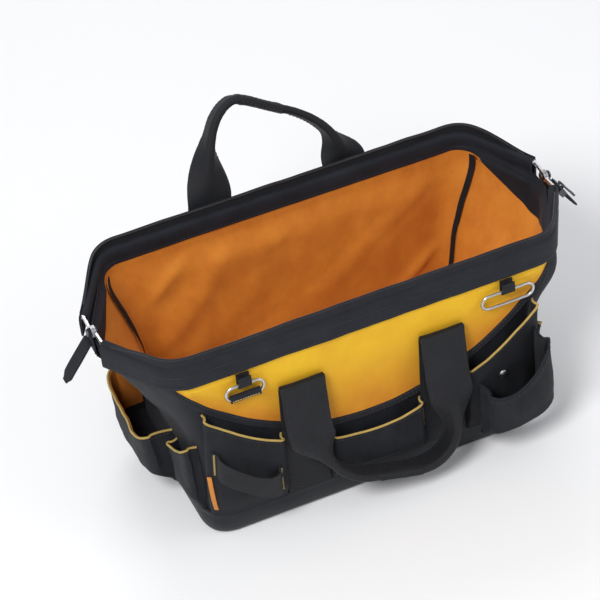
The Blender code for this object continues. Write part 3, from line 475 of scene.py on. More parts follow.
def sagging(x, y, z):
    """How far the cloth stands out of its plain shape here, the same for every layer sewn to it: soft folds
    that die out towards the seams and the handle webbing, a belly at each end, and one slack place at the
    right corner."""
    at_end = ease(abs(x), 0.185, 0.225) * (1 - 0.6 * ease(abs(y), 0.07, 0.1))
    webbed = math.exp(-(((abs(x) - 0.08) / 0.034) ** 2)) * ease(z, 0.13, 0.17)
    free = ease(z, 0.03, 0.07) * (1 - 0.75 * ease(z, 0.195, 0.225)) * (1 - 0.85 * webbed)
    long_folds = ripple(x, y, z * 0.45, 0.062, 1.7)
    fine_folds = ripple(x, y, z, 0.024, 5.2)
    crease = ripple(x + 0.6 * z, y, z * 0.3, 0.034, 9.1)
    amount = 0.0021 * long_folds + 0.0006 * fine_folds + 0.0010 * crease - 0.0020
    amount += at_end * (0.0030 * long_folds + 0.0010 * crease)
    amount += at_end * 0.0022 * ripple(x * 0.3, y * 0.45 - 0.4 * z, z, 0.023, 13.3) * ease(z, 0.05, 0.10)
    belly = at_end * 0.006 * math.exp(-(((z - 0.165) / 0.034) ** 2))
    slack = ((x - 0.216) / 0.026) ** 2 + ((y + 0.076) / 0.036) ** 2 + ((z - 0.186) / 0.022) ** 2
    return amount * free + belly + 0.011 * math.exp(-slack)


def plan_normals(path):
    """The outward direction at each point of a plan path that runs with the outside on its right."""
    found = []
    for i in range(len(path)):
        along = path[min(i + 1, len(path) - 1)] - path[max(i - 1, 0)]
        found.append(Vector((along.y, -along.x)).normalized())
    return found


def stood_out(p, n, outward, z, along=1, across=1):
    """A plan point at this height, moved this far out from the sagging cloth. along and across are -1 to
    mirror it to the bag's left and to its rear."""
    out = outward + sagging(p.x * along, p.y * across, z)
    return Vector(((p.x + n.x * out) * along, (p.y + n.y * out) * across, z))


def wall_row(share, side, outward):
    """One level of a layer of the body, on the front (side -1) or the rear (side 1), this far out from its
    face."""
    plan = wall_plan(share)
    places = zip(plan, plan_normals(plan))
    row = [stood_out(p, n, outward, level_height(p.y, share), across=-side) for p, n in places]
    return row if side < 0 else row[::-1]


def level_rows(low, high, side, outward):
    """The levels of a layer, close together where the cloth folds as the mouth closes."""
    shares = [low + (FOLD_SHARE - low) * k / LEVELS for k in range(LEVELS)]
    shares += [FOLD_SHARE + (high - FOLD_SHARE) * k / FOLD_LEVELS for k in range(FOLD_LEVELS + 1)]
    return [wall_row(share, side, outward) for share in shares]


black_cloth = cloth_look(
    "black_body_cloth", (0.0055, 0.0058, 0.008), (0.022, 0.0232, 0.030), 0.0011, 0.65, 0.74, 0.00014, 0.05
)

for label, side in WALLS:
    hem = []
    for inset, z in ((-0.030, 0.0036), (-0.004, 0.0036), (-0.0012, 0.0052)):
        hem.append([Vector((p.x, p.y, z)) for p in wall_row(0.01, side, inset)])
    rows = hem + level_rows(0.03, 1.09, side, 0.0)
    skin = sewn(f"{label}_body_cloth", rows, black_cloth, thickness=0.0015)
    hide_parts("outer_shell")
    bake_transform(skin)


def end_row(share, end, outward, half_width):
    """One level across an end, from its front side to its rear side."""
    plan = [p for p in wall_plan(share) if p.x > 0]
    facing = plan_normals(plan)
    edge = next(i for i, p in enumerate(plan) if abs(p.y) < half_width)
    before, after = plan[edge - 1], plan[edge]
    t = (abs(before.y) - half_width) / (abs(before.y) - abs(after.y))
    kept = [(before.lerp(after, t), facing[edge - 1].lerp(facing[edge], t).normalized())]
    kept += list(zip(plan, facing))[edge:]
    found = []
    for mirror in (1, -1):
        part = [stood_out(p, n, outward, level_height(p.y, share), end, mirror) for p, n in kept]
        found += part if mirror == 1 else part[::-1][1:]
    return found


def divided(points, pieces):
    """The same path, divided into this many equal pieces."""
    reach = distances(points)
    found = []
    i = 0
    for k in range(pieces + 1):
        wanted = reach[-1] * k / pieces
        while i < len(points) - 2 and reach[i + 1] < wanted:
            i += 1
        t = (wanted - reach[i]) / max(reach[i + 1] - reach[i], 1e-9)
        found.append(points[i].lerp(points[i + 1], min(max(t, 0), 1)))
    return found


def end_panel(name, end, low, high, outward, half_width, look, thickness):
    """A panel across one end, in evenly divided rows."""
    rows = []
    count = round((high - low) * 0.22 / 0.005)
    for k in range(count + 1):
        row = divided(end_row(low + (high - low) * k / count, end, outward, half_width), 56)
        rows.append(row if end > 0 else row[::-1])
    return sewn(name, rows, look, thickness=thickness)


for label, end in ENDS:
    name = f"{label}_end_backing"
    backing = end_panel(name, end, 0.03, 1.02, -0.0019, 0.060, black_cloth, 0.0009)
    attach(backing, "bag")

# Lining
# Orange polyester cut like the body, hung inside it from the rim. Each end has its own piece, joined to the
# long ones by black seam tape in the corners, and a floor piece lies over the board.
# The lining darkens towards its lower edge: partly painted shade, partly dirt.
orange_cloth = cloth_look(
    "orange_lining_cloth", (0.49, 0.125, 0.013), (0.83, 0.325, 0.038), 0.0016, 0.32, 0.66, 0.00012, 0.08,
    shine=0.3, edge=(0.30, 0.065, 0.008), shade_and_dirt_reach=0.075,
)
LINING_INSET = -0.0036
LINING_END_INSET = LINING_INSET - 0.0034
TAPE_INSET = LINING_INSET - 0.0066
TAPE_HALF_WIDTH = 0.0038
SEAM_Y = 0.0845
FLOOR_HALF_LENGTH = 0.1862
FLOOR_HALF_DEPTH = 0.0985
FLOOR_CORNER_FROM = 0.075
FLOOR_HEIGHT = 0.0121


def lining_drop(x, y, z):
    """Soft folds that the lining has of its own, always inwards."""
    own = 0.5 + 0.5 * ripple(x, y, z * 0.5, 0.045, 21.0)
    slanting = 0.5 + 0.5 * ripple(x - 0.8 * z, y, z * 0.25, 0.052, 23.0)
    crease = max(1 - 3.4 * abs(ripple(x - 1.3 * z, y * 0.2, z * 0.3, 0.085, 27.0)), 0) ** 1.4
    on_wall_only = 1 - ease(abs(x), 0.150, 0.185)
    depth = 0.0024 * own + (0.0050 * slanting + 0.0048 * crease) * on_wall_only
    return -depth * ease(z, 0.016, 0.06) * (1 - ease(z, 0.19, 0.224))


def row_normals(row, flip=False):
    """The level outward direction at each point of a row. flip is for a row that runs the other way."""
    return [Vector((n.x, n.y, 0)) * (-1 if flip else 1) for n in plan_normals(row)]


def inward(row):
    """Each point of a row moved in by the lining's own folds."""
    return [p + n * lining_drop(p.x, p.y, p.z) for p, n in zip(row, row_normals(row))]


for label, side in WALLS:
    rows = [inward(row) for row in level_rows(0.038, 1.075, side, LINING_INSET)]
    cloth = sewn(f"{label}_lining_cloth", rows, orange_cloth)
    finish_piece(cloth, orange_cloth, thickness=0.0008)
    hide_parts("lining")
    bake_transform(cloth)

seam_tape = cloth_look(
    "black_seam_tape", (0.005, 0.005, 0.0065), (0.018, 0.0185, 0.023), 0.0008, 0.3, 0.8, 0.0001, 0.03
)
for label, end in ENDS:
    name = f"{label}_lining_end"
    panel = end_panel(name, end, 0.038, 1.035, LINING_END_INSET, SEAM_Y, orange_cloth, 0.0)
    finish_piece(panel, orange_cloth, thickness=0.0008)
    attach(panel, "bag")
    for place, rim, where in (("front", "front_rim", -1), ("rear", "rear_rim", 1)):
        rows = []
        for k in range(71):
            share = 0.05 + 1.02 * k / 70
            wave = 0.0005 * ripple(share, where, end, 0.2, 31.0)
            trio = []
            for step in (-TAPE_HALF_WIDTH, 0, TAPE_HALF_WIDTH):
                level = end_row(share, end, TAPE_INSET, SEAM_Y - 0.0005 + step + wave)
                trio.append(level[0 if where < 0 else -1])
            rows.append(trio if end * where > 0 else trio[::-1])
        tape = sewn(f"{label}_corner_tape_{place}", rows, seam_tape, thickness=0.0007)
        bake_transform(tape)

rows = []
for k in range(41):
    y = -FLOOR_HALF_DEPTH + 2 * FLOOR_HALF_DEPTH * k / 40
    cut = max(abs(y) - FLOOR_CORNER_FROM, 0) / (FLOOR_HALF_DEPTH - FLOOR_CORNER_FROM)
    half = FLOOR_HALF_LENGTH - 0.026 * cut**2
    row = []
    for i in range(71):
        x = -half + 2 * half * i / 70
        row.append(Vector((x, y, FLOOR_HEIGHT + 0.0011 * (0.5 + 0.5 * ripple(x, y, 0, 0.055, 41.0)))))
    rows.append(row)
lining_floor = sewn("lining_floor_cloth", rows, orange_cloth)
finish_piece(lining_floor, orange_cloth, thickness=0.0006)
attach(lining_floor, "bag")


def speckled(label, dark, light, scale, detail, rough):
    """A hard plain finish with fine flecks, on the piece's own coordinates."""
    look, add, shader = new_look(label)
    place = add("ShaderNodeTexCoord").outputs["Object"]
    flecks = add("ShaderNodeTexNoise", Vector=place, Scale=scale, Detail=detail).outputs["Fac"]
    feed(shader, {"Base Color": mixed(add, flecks, (*dark, 1), (*light, 1)), "Roughness": rough})
    return look


def repaint(name, look):
    """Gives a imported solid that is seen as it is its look."""
    for held in bpy.data.objects[name].material_slots:
        held.material = look


board_grain = speckled("pressed_board", (0.012, 0.012, 0.012), (0.05, 0.048, 0.045), 900.0, 3.0, 0.75)
repaint("base_board", board_grain)

# Rim halves
# Each half is a steel rod bent to a wide U, its ends flattened and pierced for the hinge rivets. A band of
# black cloth is folded over it and stitched through below, and the zip tape stands along its top.
FRONT_EYE_X = 0.2591
REAR_EYE_X = 0.2616
ROD_BEND = 0.022
EYE_TO_ROD = 0.022
ROD_PITCH = 0.004
BAND_START = 0.0242


def brushed_metal(label, dark, light, rough):
    """Drawn or pressed metal: a base tone, fine wear and cloudy darker patches, on the piece's own
    coordinates.
    """
    look, add, shader = new_look(label)
    place = add("ShaderNodeTexCoord").outputs["Object"]
    cloudy = add("ShaderNodeTexNoise", Vector=place, Scale=60.0, Detail=6.0, Roughness=0.7).outputs["Fac"]
    grain = add("ShaderNodeTexNoise", Vector=place, Scale=1500.0, Detail=2.0).outputs["Fac"]
    share = calc(add, "MULTIPLY_ADD", grain, 0.5, cloudy, clamp=True)
    feed(
        shader,
        {
            "Base Color": mixed(add, share, (*dark, 1), (*light, 1)),
            "Roughness": calc(add, "MULTIPLY_ADD", cloudy, 0.25, rough - 0.12, clamp=True),
            "Normal": add("ShaderNodeBump", Strength=0.12, Distance=0.0001, Height=grain).outputs["Normal"],
            "Metallic": 1.0,
        },
    )
    return look


bright_steel = brushed_metal("plated_steel", (0.30, 0.30, 0.31), (0.66, 0.66, 0.68), 0.34)
for label in ("front", "rear"):
    repaint(f"{label}_rim_rod", bright_steel)


def rod_line(side, least):
    """The middle of one rim half's rod and its outward directions, from left to right as the bag faces you,
    cut off this far from the hinge line."""
    eye = FRONT_EYE_X if side < 0 else REAR_EYE_X
    bend = Vector((-MOUTH_HALF_LENGTH, -ROD_HALF_SPAN))
    first = Vector((-eye, -EYE_TO_ROD)).lerp(bend, (least - EYE_TO_ROD) / (ROD_HALF_SPAN - EYE_TO_ROD))
    corners = [first, bend, (-bend.x, bend.y), (-first.x, first.y)]
    plan = open_path(corners, (ROD_BEND, ROD_BEND), 12, (30, 100, 30))
    plan = divided(plan, round(distances(plan)[-1] / ROD_PITCH))
    return list(zip(plan, plan_normals(plan)))


def along_rod(side, line, out, up):
    """The rod's line moved out and up, by one amount or by a list of them, on either side of the bag."""
    outs = out if isinstance(out, list) else [out] * len(line)
    ups = up if isinstance(up, list) else [up] * len(line)
    places = [(p + n * o, rod_height(p.y) + u) for (p, n), o, u in zip(line, outs, ups)]
    return [Vector((q.x, q.y * -side, z)) for q, z in places]


def stitches(name, path, facing, look, length=0.0030, gap=0.0013, width=0.0008, skip=0.004):
    """A row of lockstitches on a surface: short rounded bars along the path, standing a little proud of it.
    facing is one direction or a list of them."""
    proud, sunk = 0.0005, 0.0003
    reach = distances(path)
    shape = bmesh.new()
    at = skip
    i = 0
    while at + length < reach[-1] - skip:
        ends = []
        for d in (at, at + length):
            while i < len(path) - 2 and reach[i + 1] < d:
                i += 1
            t = (d - reach[i]) / max(reach[i + 1] - reach[i], 1e-9)
            ends.append(path[i].lerp(path[i + 1], t))
        start, end = ends
        normal = (facing[i] if isinstance(facing, list) else facing).normalized()
        across = normal.cross((end - start).normalized()).normalized() * (width / 2)
        quarter = (end - start) * 0.22
        corners = ((start, -1, 1), (start, 1, 1), (end, 1, -1), (end, -1, -1))
        low = [shape.verts.new(p + across * a - normal * sunk) for p, a, _ in corners]
        high = [shape.verts.new(p + across * (0.5 * a) + normal * proud + quarter * b) for p, a, b in corners]
        shape.faces.new(high)
        for k in range(4):
            j = (k + 1) % 4
            shape.faces.new((low[k], low[j], high[j], high[k]))
        at += length + gap
    bmesh.ops.recalc_face_normals(shape, faces=shape.faces)
    shape.loops.layers.uv.new("laid_flat")
    obj = piece_from(shape, name)
    finish_piece(obj, look, smooth_over=60)
    return obj


def thread_look(label, dark, light):
    """Twisted sewing thread, its plies showing as slanting bands."""
    look, add, shader = new_look(label)
    place = add("ShaderNodeTexCoord").outputs["Object"]
    bands = {"wave_type": "BANDS", "bands_direction": "DIAGONAL"}
    plies = add("ShaderNodeTexWave", bands, Vector=place, Scale=700.0, Distortion=1.0).outputs["Fac"]
    feed(
        shader,
        {
            "Base Color": mixed(add, plies, (*dark, 1), (*light, 1)),
            "Normal": add("ShaderNodeBump", Strength=0.5, Distance=0.0001, Height=plies).outputs["Normal"],
            "Roughness": 0.6,
        },
    )
    return look


black_thread = thread_look("black_thread", (0.010, 0.010, 0.013), (0.036, 0.037, 0.044))
band_cloth = cloth_look(
    "black_rim_cloth", (0.0046, 0.0054, 0.0078), (0.0195, 0.0225, 0.031), 0.0012, 0.55, 0.72, 0.00016, 0.06
)
# Out from the rod and up from it: down the outside, over the top, down the inside and back up between
BAND_PROFILE = (
    (0.0058, -0.0278), (0.0062, -0.0240), (0.0064, -0.0180), (0.0065, -0.0120), (0.0063, -0.0060),
    (0.0058, -0.0015), (0.0046, 0.0016), (0.0024, 0.0034), (-0.0004, 0.0039), (-0.0030, 0.0027),
    (-0.0045, -0.0008), (-0.0049, -0.0060), (-0.0048, -0.0110), (-0.0046, -0.0165), (-0.0030, -0.0165),
    (-0.0032, -0.0110), (-0.0031, -0.0060), (-0.0029, -0.0018), (-0.0020, 0.0016), (0.0, 0.0027),
    (0.0020, 0.0016), (0.0030, -0.0018), (0.0034, -0.0060), (0.0036, -0.0120), (0.0036, -0.0200),
    (0.0036, -0.0278),
)
# Each row of stitches: the way that it faces, and its place out from the rod and up from it
BAND_SEAMS = (("low", 1, 0.0063, -0.0245), ("high", 1, 0.0063, -0.0105), ("inner", -1, -0.0049, -0.0140))
OUTSIDE_POINTS = 8
INSIDE_POINTS = 14
for label, side in WALLS:
    line = rod_line(side, BAND_START)
    rows = []
    for p, n in line:
        bent = 1 - ease(abs(abs(p.x) - MOUTH_HALF_LENGTH), 0.004, 0.03)
        row = []
        for k, (o, u) in enumerate(BAND_PROFILE):
            outer = 1 if k < OUTSIDE_POINTS else (0.5 if k < INSIDE_POINTS else 0)
            below = ease(-u, 0.004, 0.02)
            pucker = 0.0006 * ripple(p.x, p.y * -side, u * 0.6, 0.026, 2.0)
            pucker += 0.0011 * bent * ripple(p.x, p.y * 2, u * 0.2, 0.011, 6.0)
            dip = 0.0010 * ripple(p.x, p.y * -side, 0, 0.075, 8.0) * below
            q = p + n * (o + pucker * outer * (0.3 + 0.7 * below))
            row.append(Vector((q.x, q.y * -side, rod_height(p.y) + u + dip)))
        rows.append(row)
    band = sewn(f"{label}_rim_band_cloth", rows, band_cloth, closed=True, caps=True)
    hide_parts(f"{label}_rim_band")
    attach(band, f"{label}_rim")
    for place, way, out, up in BAND_SEAMS:
        facing = [Vector((n.x, n.y * -side, 0)) * way for _, n in line]
        seam_line = along_rod(side, line, out, up)
        seam = stitches(f"{label}_band_{place}_stitches", seam_line, facing, black_thread)
        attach(seam, f"{label}_rim")

# Leg facings
# Inside each corner of the mouth the rim's cloth is backed by a black facing that widens along the leg of the
# rod down to the hinge, where both halves meet.
FACING_FROM_X = 0.170
FACING_HALF_SPAN = 0.078
FACING_LEAST = 0.0095
FACING_DEEPEST = 0.0375
for label, side in WALLS:
    for hand, end in ENDS:
        plan = wall_plan(1.0)
        leg = [i for i, p in enumerate(plan) if p.x * end > FACING_FROM_X]
        rows = []
        for k in range(25):
            row = []
            for i in leg:
                rod = rod_height(plan[i].y)
                fall = max(1 - (plan[i].y / FACING_HALF_SPAN) ** 2, 0)
                reach = FACING_LEAST + (FACING_DEEPEST - FACING_LEAST) * fall
                z = rod - 0.006 - reach + reach * k / 24
                level = wall_plan((z - BODY_FOOT) / (rod - BODY_TOP_BELOW_ROD - BODY_FOOT))
                p, n = level[i], plan_normals(level)[i]
                over_end = ease(-abs(p.y), -0.092, -0.080) * ease(rod - z, 0.0125, 0.0198)
                rolled = 0.0026 * (1 - ease(rod - z, 0.0090, 0.0126))
                outward = LINING_INSET - 0.0010 - 0.0038 * over_end + rolled
                row.append(stood_out(p, n, outward, z, across=-side))
            rows.append(row if side < 0 else row[::-1])
        name = f"{label}_{hand}_leg_facing"
        leg_facing = sewn(name, rows, band_cloth, thickness=0.0008)
        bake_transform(leg_facing)

# Zip
# A coil zip along the mouth: woven tape sewn to the top edge of each rim half, with a coil of teeth sewn
# along the tape's inner edge.
tape_cloth = cloth_look(
    "black_zip_tape", (0.005, 0.005, 0.007), (0.024, 0.025, 0.031), 0.0009, 0.35, 0.78, 0.0001, 0.05, rib=0.5
)
coil_plastic = speckled("zip_coil_plastic", (0.012, 0.012, 0.014), (0.06, 0.06, 0.066), 240.0, 4.0, 0.42)
TAPE_START = 0.024
TAPE_LOW = 0.0024
TAPE_LEAST = 0.0022
TAPE_HEIGHT = 0.0112
TOOTH_PITCH = 0.0024
for label, side in WALLS:
    line = rod_line(side, TAPE_START)
    heights, tilts = [], []
    for p, _ in line:
        share = ease(abs(p.y), 0.030, 0.082)
        heights.append(TAPE_LEAST + (TAPE_HEIGHT - TAPE_LEAST) * share)
        tilts.append(0.0010 * ripple(p.x, p.y * -side, 0, 0.03, 12.0) * share)
    rows = []
    for k in range(6):
        out = [0.0043 + tilt * (k / 5) for tilt in tilts]
        row = along_rod(side, line, out, [TAPE_LOW + height * k / 5 for height in heights])
        rows.append(row if side < 0 else row[::-1])
    tape = sewn(f"{label}_zip_tape_cloth", rows, tape_cloth, thickness=0.0010)
    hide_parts(f"{label}_zip_tape")
    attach(tape, f"{label}_rim")
    bpy.ops.object.select_all(action="DESELECT")
    bpy.ops.mesh.primitive_cube_add(size=1)
    tooth = bpy.context.object
    bpy.ops.object.mode_set(mode="EDIT")
    bpy.ops.transform.resize(value=(0.0016, 0.0030, 0.0021))
    bpy.ops.mesh.bevel(offset=0.0005, segments=1, affect="EDGES")
    bpy.ops.object.mode_set(mode="OBJECT")
    teeth = bmesh.new()
    out = [0.0030 + tilt for tilt in tilts]
    inner = along_rod(side, line, out, [TAPE_LOW + height - 0.0016 for height in heights])
    spots = divided(inner, round(distances(inner)[-1] / TOOTH_PITCH))
    for i in range(6, len(spots) - 6):
        along = (spots[i + 1] - spots[i - 1]).normalized()
        out = Vector((along.y, -along.x, 0)).normalized()
        turn = Matrix((along, out, along.cross(out))).transposed().to_4x4()
        first = len(teeth.verts)
        teeth.from_mesh(tooth.data)
        teeth.verts.ensure_lookup_table()
        place = Matrix.Translation(spots[i]) @ turn
        for v in teeth.verts[first:]:
            v.co = place @ v.co
    teeth.loops.layers.uv.new("laid_flat")
    bmesh.ops.recalc_face_normals(teeth, faces=teeth.faces)
    bpy.data.objects.remove(tooth)
    coil = piece_from(teeth, f"{label}_zip_coil")
    finish_piece(coil, coil_plastic, smooth_over=40)
    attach(coil, f"{label}_rim")

# Yellow panels
# Heavier yellow cloth sewn to the upper part of the front and the rear. Its lower edge follows the pockets'
# curve and is covered by a turned black hem, stitched along both edges.
# The yellow cloth turns orange towards the panel's lower edge: painted shade.
yellow_cloth = cloth_look(
    "yellow_panel_cloth", (0.72, 0.325, 0.006), (0.90, 0.585, 0.020), 0.0014, 0.3, 0.62, 0.00016, 0.05,
    shine=0.3, edge=(0.57, 0.165, 0.010), shade_and_dirt_reach=0.092,
)
CURVE_LOW = 0.104
CURVE_RISE = 0.092
CURVE_HALF_LENGTH = 0.193


def curve_height(x):
    """The height of the curve that the pockets' mouths and the panel's lower edge follow."""
    return CURVE_LOW + CURVE_RISE * (x / CURVE_HALF_LENGTH) ** 2


wall_levels = {}


def wall_level(z):
    """The plan of the body's face at this height: its points, outward directions and distances from the
    middle."""
    key = round(z * 2000)
    if key not in wall_levels:
        share = (key / 2000 - BODY_FOOT) / (BAR_HEIGHT - BODY_TOP_BELOW_ROD - BODY_FOOT)
        plan = wall_plan(share)
        middle = min(range(len(plan)), key=lambda i: abs(plan[i].x))
        reach = distances(plan)
        centre = reach[middle] - plan[middle].x
        wall_levels[key] = (plan, plan_normals(plan), [r - centre for r in reach])
    return wall_levels[key]


def on_wall(side, s, z, out):
    """The point this far along the front or rear wall from its middle, at this height and this far out."""
    plan, facing, reach = wall_level(z)
    low, high = 0, len(reach) - 1
    while high - low > 1:
        half = (low + high) // 2
        if reach[half] <= s:
            low = half
        else:
            high = half
    t = min(max((s - reach[low]) / (reach[high] - reach[low]), 0), 1)
    p, n = plan[low].lerp(plan[high], t), facing[low].lerp(facing[high], t).normalized()
    return stood_out(p, n, out, z, across=-side)


def wall_facing(side, s, z):
    """The level direction that the front or rear wall faces here."""
    a, b = on_wall(side, s - 0.001, z, 0), on_wall(side, s + 0.001, z, 0)
    along = (b - a).normalized()
    return Vector((along.y, -along.x, 0)) * (1 if side < 0 else -1)


PANEL_OUT = 0.0017
PANEL_TOP = 0.2402
PANEL_BEND = 0.212
PANEL_HALF_LENGTH = 0.213
HEM_HIGHEST = 0.2265


def hem_height(s, drop):
    """The height of a line this far below the panel's lower edge, measured square to the edge."""
    steep = math.hypot(1, 2 * CURVE_RISE * s / CURVE_HALF_LENGTH**2)
    return min(curve_height(s), HEM_HIGHEST) - drop * steep


for label, side in WALLS:
    columns = [-PANEL_HALF_LENGTH + 2 * PANEL_HALF_LENGTH * i / 110 for i in range(111)]
    rows = []
    for k in range(53):
        row = []
        for s in columns:
            low = curve_height(s)
            bend = max(PANEL_BEND, low + 0.25 * (PANEL_TOP - low))
            z = low + (bend - low) * k / 30 if k < 30 else bend + (PANEL_TOP - bend) * (k - 30) / 22
            tucked = 0.0005 * ease(z, 0.2185, 0.227)
            pull = 0.0007 * ripple(s, 0, z, 0.05, 51.0) * (1 - ease(z, 0.19, 0.21))
            row.append(on_wall(side, s, z, PANEL_OUT - tucked + pull))
        rows.append(row if side < 0 else row[::-1])
    panel = sewn(f"{label}_panel_cloth", rows, yellow_cloth, thickness=0.0009)
    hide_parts(f"{label}_panel")
    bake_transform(panel)
    rows = []
    for k in range(6):
        crown = 0.0009 * math.sin(math.pi * (0.12 + 0.88 * k / 5))
        drop = 0.0090 * (1 - k / 5) - 0.0012
        row = [on_wall(side, s, hem_height(s, drop), PANEL_OUT + 0.0001 + crown) for s in columns]
        rows.append(row if side < 0 else row[::-1])
    hem = sewn(f"{label}_panel_hem", rows, black_cloth, thickness=0.0007)
    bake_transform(hem)
    for place, drop in (("upper", 0.0006), ("lower", 0.0066)):
        path = [on_wall(side, s, hem_height(s, drop), PANEL_OUT + 0.0009) for s in columns]
        facing = [wall_facing(side, s, hem_height(s, drop)) for s in columns]
        seam = stitches(f"{label}_hem_{place}_stitches", path, facing, black_thread)
        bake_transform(seam)

# Wall pockets
# Three flat pockets across each wall, cut from the body cloth, tucked in along the base, sewn down beside
# the handle webbing, and bound along their sagging mouths with a gold piping.
WALL_SEAT = 0.0021
POCKET_BOTTOM = 0.0304
POCKET_DEPTH = 0.012
POCKET_TUCK = 0.38
PIPING_RADIUS = 0.0013
pocket_cloth = cloth_look(
    "black_pocket_cloth", (0.0046, 0.0049, 0.0068), (0.0196, 0.0206, 0.0264), 0.0010, 0.75, 0.76, 0.00015,
    0.06,
)
gold_piping = cloth_look(
    "gold_piping", (0.30, 0.20, 0.045), (0.62, 0.44, 0.13), 0.0007, 0.7, 0.6, 0.00012, 0.1
)


def pocket_swell(v, belly=0.05):
    """How far out a pocket's face stands at this share of its height, as a share of its depth."""
    opening = POCKET_TUCK + (1 - POCKET_TUCK) * ease(v, 0.0, 0.26)
    return opening * (1 + belly * math.sin(math.pi * min(v * 1.1, 1)))


def pocket(
    place, start, end, top, depth, corner, seed, belly=0.05, bellows=0.0022, sag=0.0025, wrinkle=0.0011
):
    """The rows of an open-topped pocket of cloth, the last one its mouth. place turns distance along the
    wall, height and distance out into a point."""
    sides, front = max(5, round(depth / 0.003)), max(10, round((end - start) / 0.0032))
    corners = [(start, 0), (start, depth), (end, depth), (end, 0)]
    plan = open_path(corners, (corner, corner), 8, (sides, front, sides))
    middle, half = (start + end) / 2, (end - start) / 2
    high = max(14, round((top(middle) - POCKET_BOTTOM) / 0.0035))
    rows = []
    for k in range(-3, high + 1):
        v = max(k, 0) / high
        closing = 1 + min(k, 0) / 3.0
        mouth = ease(v, 0.72, 1.0)
        row = []
        for u, out in plan:
            along = (u - middle) / half
            slack = max(1 - along * along, 0)
            forward = min(out / depth, 1)
            z = POCKET_BOTTOM + (top(u) - POCKET_BOTTOM) * v - sag * mouth * slack * forward
            swell = pocket_swell(v, belly * slack) * (1 + 0.05 * mouth * slack)
            if abs(along) > 0.985:
                u -= math.copysign(bellows * math.sin(math.pi * forward) * ease(v, 0.05, 0.4), along)
            rough = 0.65 * ripple(u, out, z * 0.55, 0.030, seed) + 0.35 * ripple(u, out, z, 0.013, seed + 4)
            away = out * swell * closing + wrinkle * rough * forward * ease(v, 0.02, 0.2)
            row.append(place(u, z, max(away, 0.0002)))
        rows.append(row)
    return rows


def wall_place(side, seat):
    """Turns distance along a wall, height and distance out into a point, for a piece seated this far out."""
    return lambda u, z, out: on_wall(side, u, z, seat + out)


def sew_pocket(name, rows, flip):
    """A pocket's cloth. flip is for rows that run from right to left as seen from outside."""
    laid = [row[::-1] for row in rows] if flip else rows
    cloth = sewn(f"{name}_cloth", laid, pocket_cloth, thickness=0.0014)
    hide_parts(name)
    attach(cloth, "bag")


def cord_along(name, line, radius, look, sides):
    """A round cord of cloth along these points, its UV running along it."""
    rows = []
    for i, here in enumerate(line):
        along = (line[min(i + 1, len(line) - 1)] - line[max(i - 1, 0)]).normalized()
        side = along.cross(Vector((0, 0, 1)))
        if side.length < 0.2:
            side = along.cross(Vector((0, 1, 0)))
        side.normalize()
        over = side.cross(along)
        turns = [math.tau * k / sides for k in range(sides)]
        rows.append([here + side * (radius * math.cos(a)) + over * (radius * math.sin(a)) for a in turns])
    return sewn(name, rows, look, closed=True, caps=True)


def bind_mouth(name, edge, node, look=gold_piping):
    """Piping round a pocket's mouth, its ends turned in against the wall."""
    line = [p + Vector((0, 0, 0.0009)) for p in divided(edge, max(24, round(len(edge) * 1.2)))]
    pipe = cord_along(name, line, PIPING_RADIUS, look, 10)
    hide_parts(node)
    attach(pipe, "bag")


def stitch_row(name, row, flip):
    """Stitches along one row of a pocket's cloth, just proud of it."""
    facing = row_normals(row, flip)
    path = [p + n * 0.0002 for p, n in zip(row, facing)]
    seam = stitches(name, path, facing, black_thread)
    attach(seam, "bag")


HANDLE_HALF_SPACING = 0.080
WEBBING_HALF = 0.025
BESIDE_WEBBING = 0.0012
POCKET_OUTER = 0.189
POCKET_INNER = HANDLE_HALF_SPACING + WEBBING_HALF + BESIDE_WEBBING
CENTRE_END = HANDLE_HALF_SPACING - WEBBING_HALF - BESIDE_WEBBING


def flat_top(u):
    """The height of a flat pocket's mouth, below the panel's lower edge."""
    return curve_height(u) - 0.016


pocket_spans = (
    ("left", -POCKET_OUTER, -POCKET_INNER),
    ("centre", -CENTRE_END, CENTRE_END),
    ("right", POCKET_INNER, POCKET_OUTER),
)
for label, side in WALLS:
    for count, (hand, start, end) in enumerate(pocket_spans):
        node = f"{label}_{hand}_pocket"
        place = wall_place(side, WALL_SEAT)
        rows = pocket(place, start, end, flat_top, POCKET_DEPTH, 0.006, 60 + 7 * count + side)
        sew_pocket(node, rows, side > 0)
        bind_mouth(f"{label}_{hand}_gold_piping", rows[-1], f"{label}_{hand}_piping")
        stitch_row(f"{node}_stitches", rows[-2], side > 0)

# Outer pocket
# A deep bellows pocket sewn over the right front one, with a pleated bottom, a bound mouth and a rivet at its
# corner.
OUTER_START, OUTER_END = 0.1179, 0.183
OUTER_DEPTH = 0.030
OUTER_CORNER = 0.016


def outer_top(u):
    """The height of the outer pocket's mouth, which rises to its outer corner."""
    return 0.0965 + 0.050 * max((u - 0.118) / 0.065, 0) ** 3.2


rows = pocket(
    wall_place(-1, WALL_SEAT + POCKET_DEPTH + 0.0006), OUTER_START, OUTER_END, outer_top, OUTER_DEPTH,
    OUTER_CORNER, 91, belly=0.07, bellows=0.004, sag=0.004, wrinkle=0.0018,
)
sew_pocket("front_outer_pocket", rows, False)
bind_mouth("front_outer_binding", rows[-1], "front_outer_piping", band_cloth)
for drop, label in ((2, "upper"), (3, "lower")):
    stitch_row(f"front_outer_{label}_stitches", rows[-drop], False)

